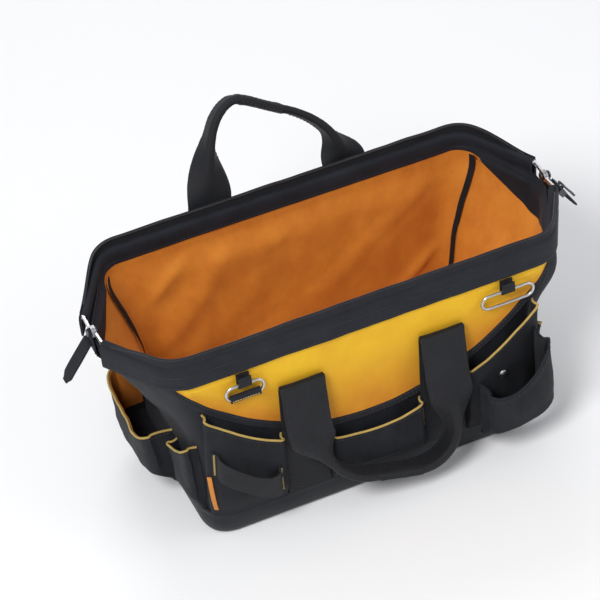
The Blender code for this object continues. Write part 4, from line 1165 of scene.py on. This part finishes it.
# End pockets
# Each end carries one wide pocket that bulges well out, lined in orange, and a slimmer one beside it towards
# the front. Both hang from bound mouths that sag between their corners.
def on_end(end, y, z, out):
    """The point on an end at this place across and height, this far out from its cloth."""
    plan = wall_level(z)[0]
    inner = [i for i, p in enumerate(plan) if p.x > 0]
    for i, j in zip(inner, inner[1:]):
        if abs(plan[j].y) <= abs(y) or j == inner[-1]:
            t = min(max((abs(plan[i].y) - abs(y)) / max(abs(plan[i].y) - abs(plan[j].y), 1e-9), 0), 1)
            x = plan[i].x + (plan[j].x - plan[i].x) * t
            return Vector((end * (x + out + sagging(x * end, y, z)), y, z))


def end_place(end):
    """Turns distance across an end, height and distance out into a point."""
    return lambda u, z, out: on_end(end, u, z, 0.0004 + out)


def end_top(y):
    """The height of the wide end pocket's mouth, which sags in its middle."""
    return 0.106 - 0.012 * (1 - ((y - 0.026) / 0.062) ** 2)


def side_top(y):
    """The height of the slim side pocket's mouth, which slopes down to the rear."""
    return 0.121 - 0.026 * (y + 0.088) / 0.048


# Kind, its two sides across the end, its mouth, depth and corner, and its belly, bellows, sag and wrinkles
end_pockets = (
    ("end", -0.036, 0.088, end_top, 0.036, 0.022, (0.10, 0.003, 0.004, 0.0022)),
    ("side", -0.088, -0.040, side_top, 0.014, 0.006, (0.08, 0.002, 0.005, 0.0014)),
)
for hand, end in ENDS:
    for count, (kind, start, finish, top, depth, corner, loose) in enumerate(end_pockets):
        node = f"{hand}_{kind}_pocket"
        rows = pocket(end_place(end), start, finish, top, depth, corner, 120 + 9 * count + end, *loose)
        sew_pocket(node, rows, end < 0)
        bind_mouth(f"{hand}_{kind}_gold_piping", rows[-1], f"{hand}_{kind}_piping")
        stitch_row(f"{hand}_{kind}_stitches", rows[-2], end < 0)
        if kind == "end":
            within = []
            for row in rows[6:]:
                moved = [p - n * 0.0019 for p, n in zip(row, row_normals(row, end < 0))][2:-2]
                within.append(moved[::-1] if end < 0 else moved)
            name = f"{hand}_end_pocket_lining"
            inner = sewn(name, within, orange_cloth, thickness=0.0006)
            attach(inner, "bag")

# Tool loop
# One length of ribbed webbing, bar-tacked in gold to the left front pocket at both ends so that it stands out
# between them in a wide open loop that sags in its middle. An orange strip is sewn on below its outer end.
webbing_look = cloth_look(
    "black_webbing", (0.0034, 0.0036, 0.0049), (0.0155, 0.0164, 0.0208), 0.0021, 0.45, 0.66, 0.00034, 0.05,
    rib=0.5, shine=0.3,
)
LOOP_OUTER, LOOP_INNER = 0.183, 0.1122
LOOP_LOW, LOOP_HIGH = 0.086, 0.053
LOOP_SEAT = 0.0149
LOOP_SWELL = 0.015
TACK = 0.004
TACK_HALF = 0.0155
loop_length = LOOP_OUTER - LOOP_INNER - 2 * TACK


def pocket_face(u, z):
    """How far out from the wall the left front pocket's face is here."""
    v = (z - POCKET_BOTTOM) / (flat_top(u) - POCKET_BOTTOM)
    return WALL_SEAT + POCKET_DEPTH * pocket_swell(min(max(v, 0), 1)) + 0.0009


path = [(-LOOP_OUTER, 0.0)]
for k in range(43):
    angle = math.pi * k / 42
    along = loop_length * (1 - math.cos(angle)) / 2
    path.append((-LOOP_OUTER + TACK + along, LOOP_SWELL * math.sin(angle) ** 0.9))
path.append((-LOOP_INNER, 0.0))
rows = []
for k in range(10):
    row = []
    for u, out in path:
        low, high = curve_height(u) - LOOP_LOW, curve_height(u) - LOOP_HIGH
        sag = out / LOOP_SWELL
        z = low - 0.004 * sag + (high - low - 0.004 * sag) * k / 9
        lean = 1 + 0.16 * (k / 9 - 0.6)
        away = max(pocket_face(u, z), LOOP_SEAT) + 0.0011 + out * lean
        row.append(on_wall(-1, u, z, away + 0.0012 * sag * ripple(u, out, z, 0.024, 71)))
    rows.append(row)
loops = sewn("front_tool_loop_webbing", rows, webbing_look, thickness=0.0017)
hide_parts("front_tool_loops")
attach(loops, "bag")
gold_thread = thread_look("gold_thread", (0.30, 0.20, 0.05), (0.66, 0.50, 0.20))


def bar_tack(name, u, low, high, out):
    """A gold bar tack up the front wall: threads laid close together across a line."""
    line = [on_wall(-1, u, low + (high - low) * k / 12, out) for k in range(13)]
    facing = wall_facing(-1, u, (low + high) / 2)
    bar = stitches(name, line, facing, gold_thread, 0.0007, gap=0.0002, width=0.0031, skip=0)
    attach(bar, "bag")


for hand, u in (("outer", -LOOP_OUTER + TACK / 2), ("inner", -LOOP_INNER - TACK / 2)):
    middle = curve_height(u) - (LOOP_LOW + LOOP_HIGH) / 2
    bar_tack(f"tool_loop_{hand}_tack", u, middle - TACK_HALF, middle + TACK_HALF, 0.0162)
bar_tack("centre_pocket_tack", CENTRE_END + BESIDE_WEBBING, 0.057, 0.081, 0.0046)

STRIP_FOOT, STRIP_LENGTH = 0.044, 0.052
STRIP_X, STRIP_LEAN = -0.1822, 0.0030
strip_look = cloth_look(
    "orange_strip", (0.46, 0.14, 0.020), (0.76, 0.31, 0.055), 0.0012, 0.4, 0.6, 0.0002, 0.1
)
rows = []
for k in range(19):
    z = STRIP_FOOT + STRIP_LENGTH * k / 18
    middle = STRIP_X - STRIP_LEAN * k / 18
    out = pocket_face(middle, z) + 0.0012
    rows.append([on_wall(-1, middle + du, z, out) for du in (-0.0016, -0.0008, 0, 0.0008, 0.0016)])
strip = sewn("left_orange_strip", rows, strip_look, thickness=0.0012)
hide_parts("left_corner_strip")
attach(strip, "bag")

# Handle webbing
# Four lengths of 50 mm webbing run up the walls from the base, sewn along both edges and boxed near the top.
# Each handle is the same webbing, folded back at the top of its two lengths.
FOLD_HEIGHT = 0.181
FOLD_Y = 0.1127
ANCHOR_TOP = 0.1835
ANCHOR_OUT = 0.0041
BOX_LOW, BOX_HIGH = 0.148, 0.175
BOX_HALF = 0.0215
ANCHOR_HALF = 0.0248
for label, side in WALLS:
    for hand, middle in (("left", -HANDLE_HALF_SPACING), ("right", HANDLE_HALF_SPACING)):
        rows = []
        for k in range(41):
            z = POCKET_BOTTOM + (ANCHOR_TOP - POCKET_BOTTOM) * k / 40
            out = ANCHOR_OUT + 0.0024 * ease(z, 0.176, ANCHOR_TOP)
            row = []
            for i in range(15):
                worn = 0.0003 * ripple(middle + i, 0, z, 0.03, 81)
                row.append(on_wall(side, middle + ANCHOR_HALF * (i / 7 - 1), z, out + worn))
            rows.append(row if side < 0 else row[::-1])
        anchor = sewn(f"{label}_{hand}_anchor_webbing", rows, webbing_look, thickness=0.0016)
        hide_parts(f"{label}_{hand}_anchor")
        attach(anchor, "bag")
        foot, left, right = POCKET_BOTTOM + 0.002, middle - BOX_HALF, middle + BOX_HALF
        routes = (
            ("left", (left, foot), (left, BOX_HIGH)),
            ("right", (right, foot), (right, BOX_HIGH)),
            ("top", (left, BOX_HIGH), (right, BOX_HIGH)),
            ("middle", (left, BOX_LOW), (right, BOX_LOW)),
            ("rising", (left, BOX_LOW), (right, BOX_HIGH)),
            ("falling", (left, BOX_HIGH), (right, BOX_LOW)),
        )
        facing = wall_facing(side, middle, 0.16)
        for route, a, b in routes:
            line = []
            for k in range(31):
                s, z = a[0] + (b[0] - a[0]) * k / 30, a[1] + (b[1] - a[1]) * k / 30
                line.append(on_wall(side, s, z, ANCHOR_OUT + 0.0001))
            name = f"{label}_{hand}_anchor_{route}"
            seam = stitches(name, line, facing, black_thread, skip=0.0004)
            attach(seam, "bag")

# Handles
# From each fold the webbing runs flat, then turns in towards the middle while its edges fold back behind it,
# and both legs meet in a short padded sleeve round the folded webbing.
HANDLE_REACH = 0.154
GRIP_HALF_LENGTH = 0.026
FOLD_RADIUS = 0.0036
LEAF_START = 0.0605
GRIP_WIDE, GRIP_THICK = 0.0122, 0.0262
GRIP_STRAP_WIDTH = 0.007
GRIP_SEAM, GRIP_SEAM_OUT = 0.0030, 0.0130
WEB_THICKNESS = 0.0022
WEB_FOLD_THICKNESS = 0.0073
MIDDLE_HALF = 0.0030
SPINE_STEP = 0.0005
SPINE_BACK = 20
leans = {
    "front": lambda s: math.radians(9),
    "rear": lambda s: math.radians(6) + math.radians(26) * ease(s, 0.066, 0.098),
}


def handle_spine(label):
    """Places and outward directions along a handle at each half millimetre from its fold. The front handle
    hangs down and leans out, and the rear one stands up and leans back."""
    side, rising = (-1, -1) if label == "front" else (1, 1)
    lean = leans[label](0)
    y = side * (FOLD_Y - math.sin(lean) * SPINE_STEP * SPINE_BACK)
    z = FOLD_HEIGHT - rising * math.cos(lean) * SPINE_STEP * SPINE_BACK
    found = []
    for k in range(-SPINE_BACK, 365):
        lean = leans[label](k * SPINE_STEP)
        found.append((Vector((0, y, z)), Vector((0, side * math.cos(lean), -rising * math.sin(lean)))))
        y += side * math.sin(lean) * SPINE_STEP
        z += rising * math.cos(lean) * SPINE_STEP
    return lambda s: found[min(max(round(s / SPINE_STEP) + SPINE_BACK, 0), len(found) - 1)]


def flattened(width, thick, squareness, points):
    """A strap's cross-section: an oval when squareness is 1, close to a flat band when it is small."""
    found = []
    for k in range(points):
        c, s = math.cos(math.tau * k / points), math.sin(math.tau * k / points)
        across = width / 2 * math.copysign(abs(c) ** squareness, c)
        found.append((across, thick / 2 * math.copysign(abs(s) ** squareness, s)))
    return found


def folded_web(turned, thick, pieces=15):
    """The webbing's section with its edges folded back by this angle: places across it, how far back, and the
    way out from its smooth side."""
    half = [(0.0, 0.0, 0.0)]
    step = WEBBING_HALF / pieces
    for k in range(pieces):
        slope = turned * ease((k + 0.5) * step, 0.0005, 2 * MIDDLE_HALF - 0.0005)
        across, back, _ = half[-1]
        half.append((across + math.cos(slope) * step, back + math.sin(slope) * step, slope))
    line = [(-a, b, -slope) for a, b, slope in half[:0:-1]] + half
    found = []
    for n, (a, b, slope) in enumerate(line):
        edge = abs(n / pieces - 1)
        reach = thick / 2 * max(1 - edge**9, 0.2) ** 0.5
        found.append((a, b - half[-1][1] / 2, math.sin(slope) * reach, -math.cos(slope) * reach))
    return found


def handle_stations():
    """Along half a handle from its fold to its middle: place across, distance from the fold, turn and
    fold."""
    left = -HANDLE_HALF_SPACING
    found = [(left, -FOLD_RADIUS + 0.0005 + 0.0011 * k, 0.0, 0.0) for k in range(7)]
    found += [(left, 0.0042 + (LEAF_START - 0.0042) * k / 12, 0.0, 0.0) for k in range(1, 12)]
    a, corner = Vector((left, LEAF_START)), Vector((left, HANDLE_REACH))
    b = Vector((-GRIP_HALF_LENGTH, HANDLE_REACH))
    for k, p in enumerate(curve(a, corner, b, 48)):
        t = k / 48
        d = ((corner - a) * (1 - t) + (b - corner) * t).normalized()
        width = GRIP_STRAP_WIDTH + (2 * WEBBING_HALF - GRIP_STRAP_WIDTH) * (1 - ease(t, 0.08, 0.50))
        flat = min(max((width / 2 - MIDDLE_HALF) / (WEBBING_HALF - MIDDLE_HALF), 0), 1)
        found.append((p.x, p.y, math.atan2(d.x, d.y), math.acos(flat)))
    found += [(-GRIP_HALF_LENGTH * (1 - k / 6), HANDLE_REACH, math.pi / 2, math.pi / 2) for k in range(1, 6)]
    return found


def slumped(side, x, s):
    """Where a place on the flat handle goes as the soft loop hangs to one side: the front one drops to its
    right, and the rear one leans over and droops to its right."""
    moving = ease(s, 0.045, 0.145)
    if side < 0:
        return x + 0.010 * moving, s - 0.017 * moving * ease(-x, -0.045, 0.055)
    sideways = 0.012 * moving * ease(-x, -0.020, 0.060)
    return x + sideways, s + moving * (0.018 - 0.038 * ease(x, -0.040, 0.066))


def hung(side, spine, x, s):
    """Where a place on the flat handle hangs, the direction that it faces, and its place after slumping."""
    flat_x, flat_s = slumped(side, x, s)
    at, facing = spine(flat_s)
    return Vector((flat_x, at.y, at.z)), facing, flat_s


def strap_place(side, spine, x, s, turn, across, back):
    """A point of the handle's webbing, this far across it and this far towards its hollow side."""
    at, facing, flat_s = hung(side, spine, x + math.cos(turn) * across, s - math.sin(turn) * across)
    wave = 0.0011 * ripple(at.x, flat_s, 0, 0.034, 95 + side) * ease(s, 0.01, 0.05)
    return at + facing * (side * back + wave)


half_handle = handle_stations()
for label, side in WALLS:
    spine = handle_spine(label)
    whole = half_handle + [(0.0, HANDLE_REACH, math.pi / 2, math.pi / 2)]
    whole += [(-x, s, math.pi - turn, turned) for x, s, turn, turned in half_handle[::-1]]
    rows = []
    for x, s, turn, turned in whole:
        roll = max(0.0, 1 - (s / (FOLD_RADIUS + 0.0004)) ** 2) if s < 0.0045 else 0.0
        section = folded_web(turned, max(WEB_THICKNESS, WEB_FOLD_THICKNESS * math.sqrt(roll)))
        smooth_side = [strap_place(side, spine, x, s, turn, a + i, b + j) for a, b, i, j in section]
        hollow_side = [strap_place(side, spine, x, s, turn, a - i, b - j) for a, b, i, j in section]
        rows.append(smooth_side + hollow_side[::-1])
    strap = sewn(f"{label}_handle_webbing", rows, webbing_look, closed=True, caps=True)
    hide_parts(f"{label}_handle")
    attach(strap, f"{label}_handle")
    for hand, way in (("left", 1), ("right", -1)):
        for edge, index in (("outer", 2), ("inner", -3)):
            line, facing = [], []
            for x, s, turn, turned in half_handle[8:-6]:
                a, b, i, j = folded_web(turned, WEB_THICKNESS)[index]
                station = (x, s, turn) if way > 0 else (-x, s, math.pi - turn)
                line.append(strap_place(side, spine, *station, a + i, b + j))
                facing.append((line[-1] - strap_place(side, spine, *station, a, b)).normalized())
            seam = stitches(f"{label}_handle_{hand}_{edge}_stitches", line, facing, black_thread)
            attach(seam, f"{label}_handle")
    rows = []
    half = GRIP_HALF_LENGTH * 0.99
    for n in range(45):
        x = -half + 2 * half * n / 44
        near_end = ease(abs(x), 0.0215, 0.0257)
        rim = 0.0009 * math.exp(-(((abs(x) - 0.0232) / 0.0010) ** 2))
        row = []
        wide, thick = GRIP_WIDE - 0.0010 * near_end + rim, GRIP_THICK - 0.0012 * near_end + rim
        for across, deep in flattened(wide, thick, 0.66, 32):
            pucker = 1 + 0.03 * ripple(x, across, deep, 0.010, 101 + side)
            at, facing, _ = hung(side, spine, x, HANDLE_REACH + across * pucker)
            row.append(at + facing * (deep * pucker))
        rows.append(row)
    grip = sewn(f"{label}_grip_sleeve", rows, webbing_look, closed=True, caps=True)
    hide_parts(f"{label}_grip")
    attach(grip, f"{label}_handle")
    for place, across in (("near", -GRIP_SEAM), ("far", GRIP_SEAM)):
        line = []
        for k in range(21):
            at, facing, _ = hung(side, spine, -0.0235 + 0.047 * k / 20, HANDLE_REACH + across)
            line.append(at - facing * (side * GRIP_SEAM_OUT))
        name = f"{label}_grip_{place}_stitches"
        seam = stitches(name, line, -side * facing, black_thread, skip=0)
        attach(seam, f"{label}_handle")

# Wire rings
# A welded ring of plated wire hangs on the front from a short loop of webbing on each side, free to swing up.
# The left one wears a sleeve of black cloth with a gold line.
RING_Y = -0.1105
RING_TOP = 0.207
RING_BEND = 0.0085
WIRE_RADIUS = 0.0016
KEEPER_HALF = 0.0072
KEEPER_INSIDE = WIRE_RADIUS + 0.0003 + 0.00075
SLEEVE_HALF = 0.0165
for hand, middle, length in (("left", -0.142, 0.042), ("right", 0.158, 0.060)):
    bpy.ops.object.select_all(action="DESELECT")
    bpy.ops.mesh.primitive_torus_add(
        rotation=(math.pi / 2, 0, 0), major_segments=56, minor_segments=16, major_radius=RING_BEND,
        minor_radius=WIRE_RADIUS,
    )
    ring = bpy.context.object
    bpy.ops.object.transform_apply(location=True, rotation=True, scale=True)
    for v in ring.data.vertices:
        v.co.x += math.copysign(length / 2 - RING_BEND, v.co.x) if abs(v.co.x) > 1e-6 else 0
        v.co += Vector((middle, RING_Y, RING_TOP - RING_BEND))
    ring.name = f"{hand}_wire_ring"
    finish_piece(ring, bright_steel)
    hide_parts(f"{hand}_ring")
    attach(ring, f"{hand}_ring")
    if hand == "left":
        rows = []
        for k in range(25):
            x = middle - SLEEVE_HALF + 2 * SLEEVE_HALF * k / 24
            flare = 0.0004 * ease(abs(x - middle), 0.0135, SLEEVE_HALF)
            row = []
            for up, deep in flattened(0.0086 + 2 * flare, 0.0064 + 2 * flare, 0.8, 24):
                y = RING_Y + deep + 0.0003 * ripple(x, deep, up, 0.008, 3)
                row.append(Vector((x, y, RING_TOP - 0.0154 + up)))
            rows.append(row)
        sleeve = sewn("left_ring_sleeve", rows, band_cloth, closed=True, caps=True)
        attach(sleeve, "left_ring")
        xs = [middle - 0.0160 + 0.032 * k / 16 for k in range(17)]
        line = [Vector((x, RING_Y - 0.0031, RING_TOP - 0.0166)) for x in xs]
        seam = stitches(
            "left_ring_sleeve_line", line, Vector((0, -1, 0)), gold_thread, 0.0024, gap=0.0004,
            width=0.0014, skip=0,
        )
        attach(seam, "left_ring")
    path = [(RING_Y + KEEPER_INSIDE, RING_TOP + 0.012)]
    for k in range(13):
        turn = -math.pi * k / 12
        path.append((RING_Y + KEEPER_INSIDE * math.cos(turn), RING_TOP + KEEPER_INSIDE * math.sin(turn)))
    path.append((RING_Y - KEEPER_INSIDE, RING_TOP + 0.005))
    path.append((RING_Y - KEEPER_INSIDE + 0.0012, RING_TOP + 0.0105))
    rows = []
    for y, z in divided([Vector(p) for p in path], 30):
        xs = [middle - KEEPER_HALF + 2 * KEEPER_HALF * i / 6 for i in range(7)]
        rows.append([Vector((x, y + 0.0002 * ripple(i, z, 0, 0.6, 3), z)) for i, x in enumerate(xs)])
    keeper = sewn(f"{hand}_ring_loop", rows[::-1], webbing_look, thickness=0.0012)
    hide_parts(f"{hand}_ring_keeper")
    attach(keeper, "bag")
    for above in (0.0066, 0.0092):
        y = RING_Y - KEEPER_INSIDE - 0.0004 + 0.0009 * (above - 0.005) / 0.0055
        line = [Vector((middle - 0.006 + 0.012 * k / 8, y, RING_TOP + above)) for k in range(9)]
        name = f"{hand}_ring_loop_stitches_{round(above * 1e4)}"
        seam = stitches(name, line, Vector((0, -1, 0.1)), black_thread, 0.0018, gap=0.0008, skip=0)
        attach(seam, "bag")

# Hinges
# At each end a tab of webbing runs up the outside of the body and over the rod ends, and one domed steel
# rivet goes through the tab and both eyes.
dark_steel = brushed_metal("blackened_steel", (0.030, 0.030, 0.033), (0.13, 0.13, 0.14), 0.42)
TAB_X = 0.2630
TAB_FOOT, TAB_TOP = 0.120, 0.2468
TAB_HALF = 0.012
TAB_SEAM = 0.0098
NECK_HALF = 0.0055
NECK_LOW, NECK_HIGH = 0.2325, 0.2375
HEAD_RADIUS, HEAD_DEPTH = 0.0044, 0.0020
HEAD_CLEARANCE = 0.0003
PIN_RADIUS, PIN_LENGTH, PIN_X = 0.0020, 0.0076, 0.2611


def tab_half_width(z):
    """Half the tab's width at this height: wide on the body, narrow at the rod ends, and round over the
    rivet."""
    if z < NECK_LOW:
        return TAB_HALF
    if z < NECK_HIGH:
        return TAB_HALF - (TAB_HALF - NECK_HALF) * ease(z, NECK_LOW, NECK_HIGH)
    if z > PIN_HEIGHT:
        return NECK_HALF * math.sqrt(max(1 - ((z - PIN_HEIGHT) / 0.0052) ** 2, 0.02))
    return NECK_HALF


def bevelled(obj, width):
    """Rounds the edges of the active object."""
    bpy.ops.object.modifier_add(type="BEVEL")
    obj.modifiers[-1].width = width
    obj.modifiers[-1].segments = 3
    bpy.ops.object.modifier_apply(modifier=obj.modifiers[-1].name)


def turned_piece(vertices, radius, depth, x, bevel=0.0):
    """A short cylinder across the bag at the height of the hinge pins."""
    bpy.ops.object.select_all(action="DESELECT")
    bpy.ops.mesh.primitive_cylinder_add(vertices=vertices, radius=radius, depth=depth, location=(0, 0, 0))
    made = bpy.context.object
    if bevel:
        bevelled(made, bevel)
    made.rotation_euler = (0, math.pi / 2, 0)
    made.location = (x, 0, PIN_HEIGHT)
    bpy.ops.object.transform_apply(location=True, rotation=True, scale=True)
    return made


for hand, end in ENDS:
    rows = []
    for k in range(41):
        z = TAB_FOOT + (TAB_TOP - TAB_FOOT) * k / 40
        half = tab_half_width(z)
        up = ease(z, 0.205, 0.226)
        row = []
        for i in range(9):
            y = half * (i / 4 - 1)
            skin = on_end(end, y, min(z, 0.222), 0.0011)
            row.append(Vector((skin.x * (1 - up) + end * (TAB_X + 0.0016) * up, y, z)))
        rows.append(row if end > 0 else row[::-1])
    tab = sewn(f"{hand}_hinge_webbing", rows, webbing_look, thickness=0.0015)
    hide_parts(f"{hand}_hinge_tab")
    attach(tab, "bag")
    for place, column in (("front", -TAB_SEAM), ("rear", TAB_SEAM)):
        line = [Vector((row[4].x + end * 0.0001, column, row[4].z)) for row in rows[:36]]
        seam = stitches(f"{hand}_hinge_stitches_{place}", line, Vector((end, 0, 0)), black_thread)
        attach(seam, "bag")
    inner_head = FRONT_EYE_X - 0.0011 - HEAD_CLEARANCE - HEAD_DEPTH / 2
    outer_head = TAB_X + 0.0017 + HEAD_CLEARANCE + HEAD_DEPTH / 2
    heads = [turned_piece(32, HEAD_RADIUS, HEAD_DEPTH, end * at, 0.0009) for at in (inner_head, outer_head)]
    pin = turned_piece(24, PIN_RADIUS, PIN_LENGTH, end * PIN_X)
    for head in heads:
        head.select_set(True)
    bpy.ops.object.join()
    pin.name = f"{hand}_domed_rivet"
    finish_piece(pin, dark_steel, smooth_over=35)
    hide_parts(f"{hand}_hinge_rivet")
    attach(pin, "bag")

# Zip ends
# The zip runs on past each hinge as a doubled tail of tape that droops outwards. Its edges are bound and it
# narrows towards its tip.
TAIL_START = Vector((0.2673, 0.232))
TAIL_DROOP = math.radians(54)
TAIL_ALONG = Vector((math.cos(TAIL_DROOP), -math.sin(TAIL_DROOP)))
TAIL_OUT = Vector((math.sin(TAIL_DROOP), math.cos(TAIL_DROOP)))
TAIL_LENGTH = 0.052
TAIL_WIDTH = 0.018
TAIL_TUCK = 0.004
TAIL_SEAM = 0.0074


def tail_form(reach, end):
    """How thick the tail is this far along it, and how far its cloth arches out."""
    thick = 0.0022 + 0.0007 * math.sin(math.pi * min(max(reach / TAIL_LENGTH, 0), 1))
    return thick, 0.0007 * ripple(reach, 0, end, 0.02, 7) * ease(reach, 0.018, 0.04)


for hand, end in ENDS:
    rows = []
    for k in range(41):
        reach = (TAIL_LENGTH + TAIL_TUCK) * k / 40 - TAIL_TUCK
        at = TAIL_START + TAIL_ALONG * max(reach, 0) + Vector((min(reach, 0), 0))
        width = TAIL_WIDTH - 0.009 * ease(reach, 0.043, TAIL_LENGTH)
        thick, arch = tail_form(reach, end)
        row = []
        for across, deep in flattened(width, thick, 0.35, 18):
            q = at + TAIL_OUT * (deep + arch)
            row.append(Vector((end * q.x, across * end, q.y)))
        rows.append(row)
    tail = sewn(f"{hand}_zip_tail", rows, tape_cloth, closed=True, caps=True)
    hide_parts(f"{hand}_zip_end")
    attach(tail, "bag")
    facing = Vector((end * TAIL_OUT.x, 0, TAIL_OUT.y))
    for place, edge in (("front", -TAIL_SEAM), ("rear", TAIL_SEAM)):
        line = []
        for k in range(25):
            reach = 0.002 + 0.042 * k / 24
            thick, arch = tail_form(reach, end)
            q = TAIL_START + TAIL_ALONG * reach + TAIL_OUT * (thick / 2 + arch)
            line.append(Vector((end * q.x, edge, q.y)))
        seam = stitches(f"{hand}_tail_stitches_{place}", line, facing, black_thread)
        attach(seam, "bag")

# Slider and pull
# A cast slider rides on the right tail, a plate above and below it with a bridge over the top, and a flat
# pull with a rounded hole hangs from the bridge.
slider_middle = TAIL_START + TAIL_ALONG * 0.0165
pull_pivot = Vector((0.28161, 0.222001))
tilt = Matrix(((TAIL_ALONG.x, 0, TAIL_OUT.x), (0, 1, 0), (TAIL_ALONG.y, 0, TAIL_OUT.y))).to_4x4()


def block(size, place, bevel):
    """One bevelled block of a casting, in the slider's own directions: along the tail, across it and out."""
    bpy.ops.object.select_all(action="DESELECT")
    bpy.ops.mesh.primitive_cube_add(size=1)
    made = bpy.context.object
    made.dimensions = size
    bpy.ops.object.transform_apply(location=False, rotation=False, scale=True)
    bevelled(made, bevel)
    for v in made.data.vertices:
        v.co += Vector(place)
    return made


def joined(parts, name, middle, node, body):
    """Blocks made one piece, turned to the tail and set in place."""
    bpy.ops.object.select_all(action="DESELECT")
    for part in parts:
        part.select_set(True)
    bpy.context.view_layer.objects.active = parts[0]
    bpy.ops.object.join()
    made = bpy.context.object
    made.name = name
    for v in made.data.vertices:
        v.co = tilt @ v.co + Vector((middle.x, 0, middle.y))
    finish_piece(made, dark_steel, smooth_over=40)
    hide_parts(node)
    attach(made, body)


parts = [
    *[block((0.011, 0.0222, 0.0016), (0, 0, z), 0.0006) for z in (0.0027, -0.0027)],
    *[block((0.0105, 0.0016, 0.0052), (0, y, 0), 0.0005) for y in (0.0101, -0.0101)],
    *[block((0.0016, 0.0040, 0.0030), (x, 0, 0.0046), 0.0005) for x in (-0.0036, 0.0036)],
    block((0.0088, 0.0040, 0.0012), (0, 0, 0.0066), 0.0005),
]
joined(parts, "zip_slider_casting", slider_middle, "zip_slider", "zip_slider")
parts = [
    block((0.0022, 0.0090, 0.0013), (-0.0022, 0, 0.0), 0.0004),
    *[block((0.0070, 0.0019, 0.0013), (0.0008, y, 0), 0.0004) for y in (0.0036, -0.0036)],
    block((0.0150, 0.0080, 0.0018), (0.0118, 0, 0), 0.0007),
    block((0.0075, 0.0066, 0.0024), (0.0212, 0, 0), 0.0010),
]
joined(parts, "zip_pull_tab", pull_pivot, "zip_pull", "zip_pull")

# Corner rivet
# A small domed rivet of plated steel, set through the outer pocket's cloth below the corner of its mouth to
# keep the seam there from tearing.
RIVET_X, RIVET_HEIGHT = 0.1465, 0.1005
RIVET_RADIUS = 0.0048
RIVET_FLATNESS = 0.42
corner_at = on_wall(-1, RIVET_X, RIVET_HEIGHT, WALL_SEAT + POCKET_DEPTH + 0.0012)
bpy.ops.object.select_all(action="DESELECT")
bpy.ops.mesh.primitive_uv_sphere_add(segments=28, ring_count=14, radius=RIVET_RADIUS)
rivet = bpy.context.object
for v in rivet.data.vertices:
    v.co = Vector((v.co.x, v.co.y * RIVET_FLATNESS, v.co.z)) + corner_at
rivet.name = "pocket_rivet"
finish_piece(rivet, bright_steel)
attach(rivet, "bag")

size = {"cad": solid_box, "visual": [list(corner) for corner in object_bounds()]}
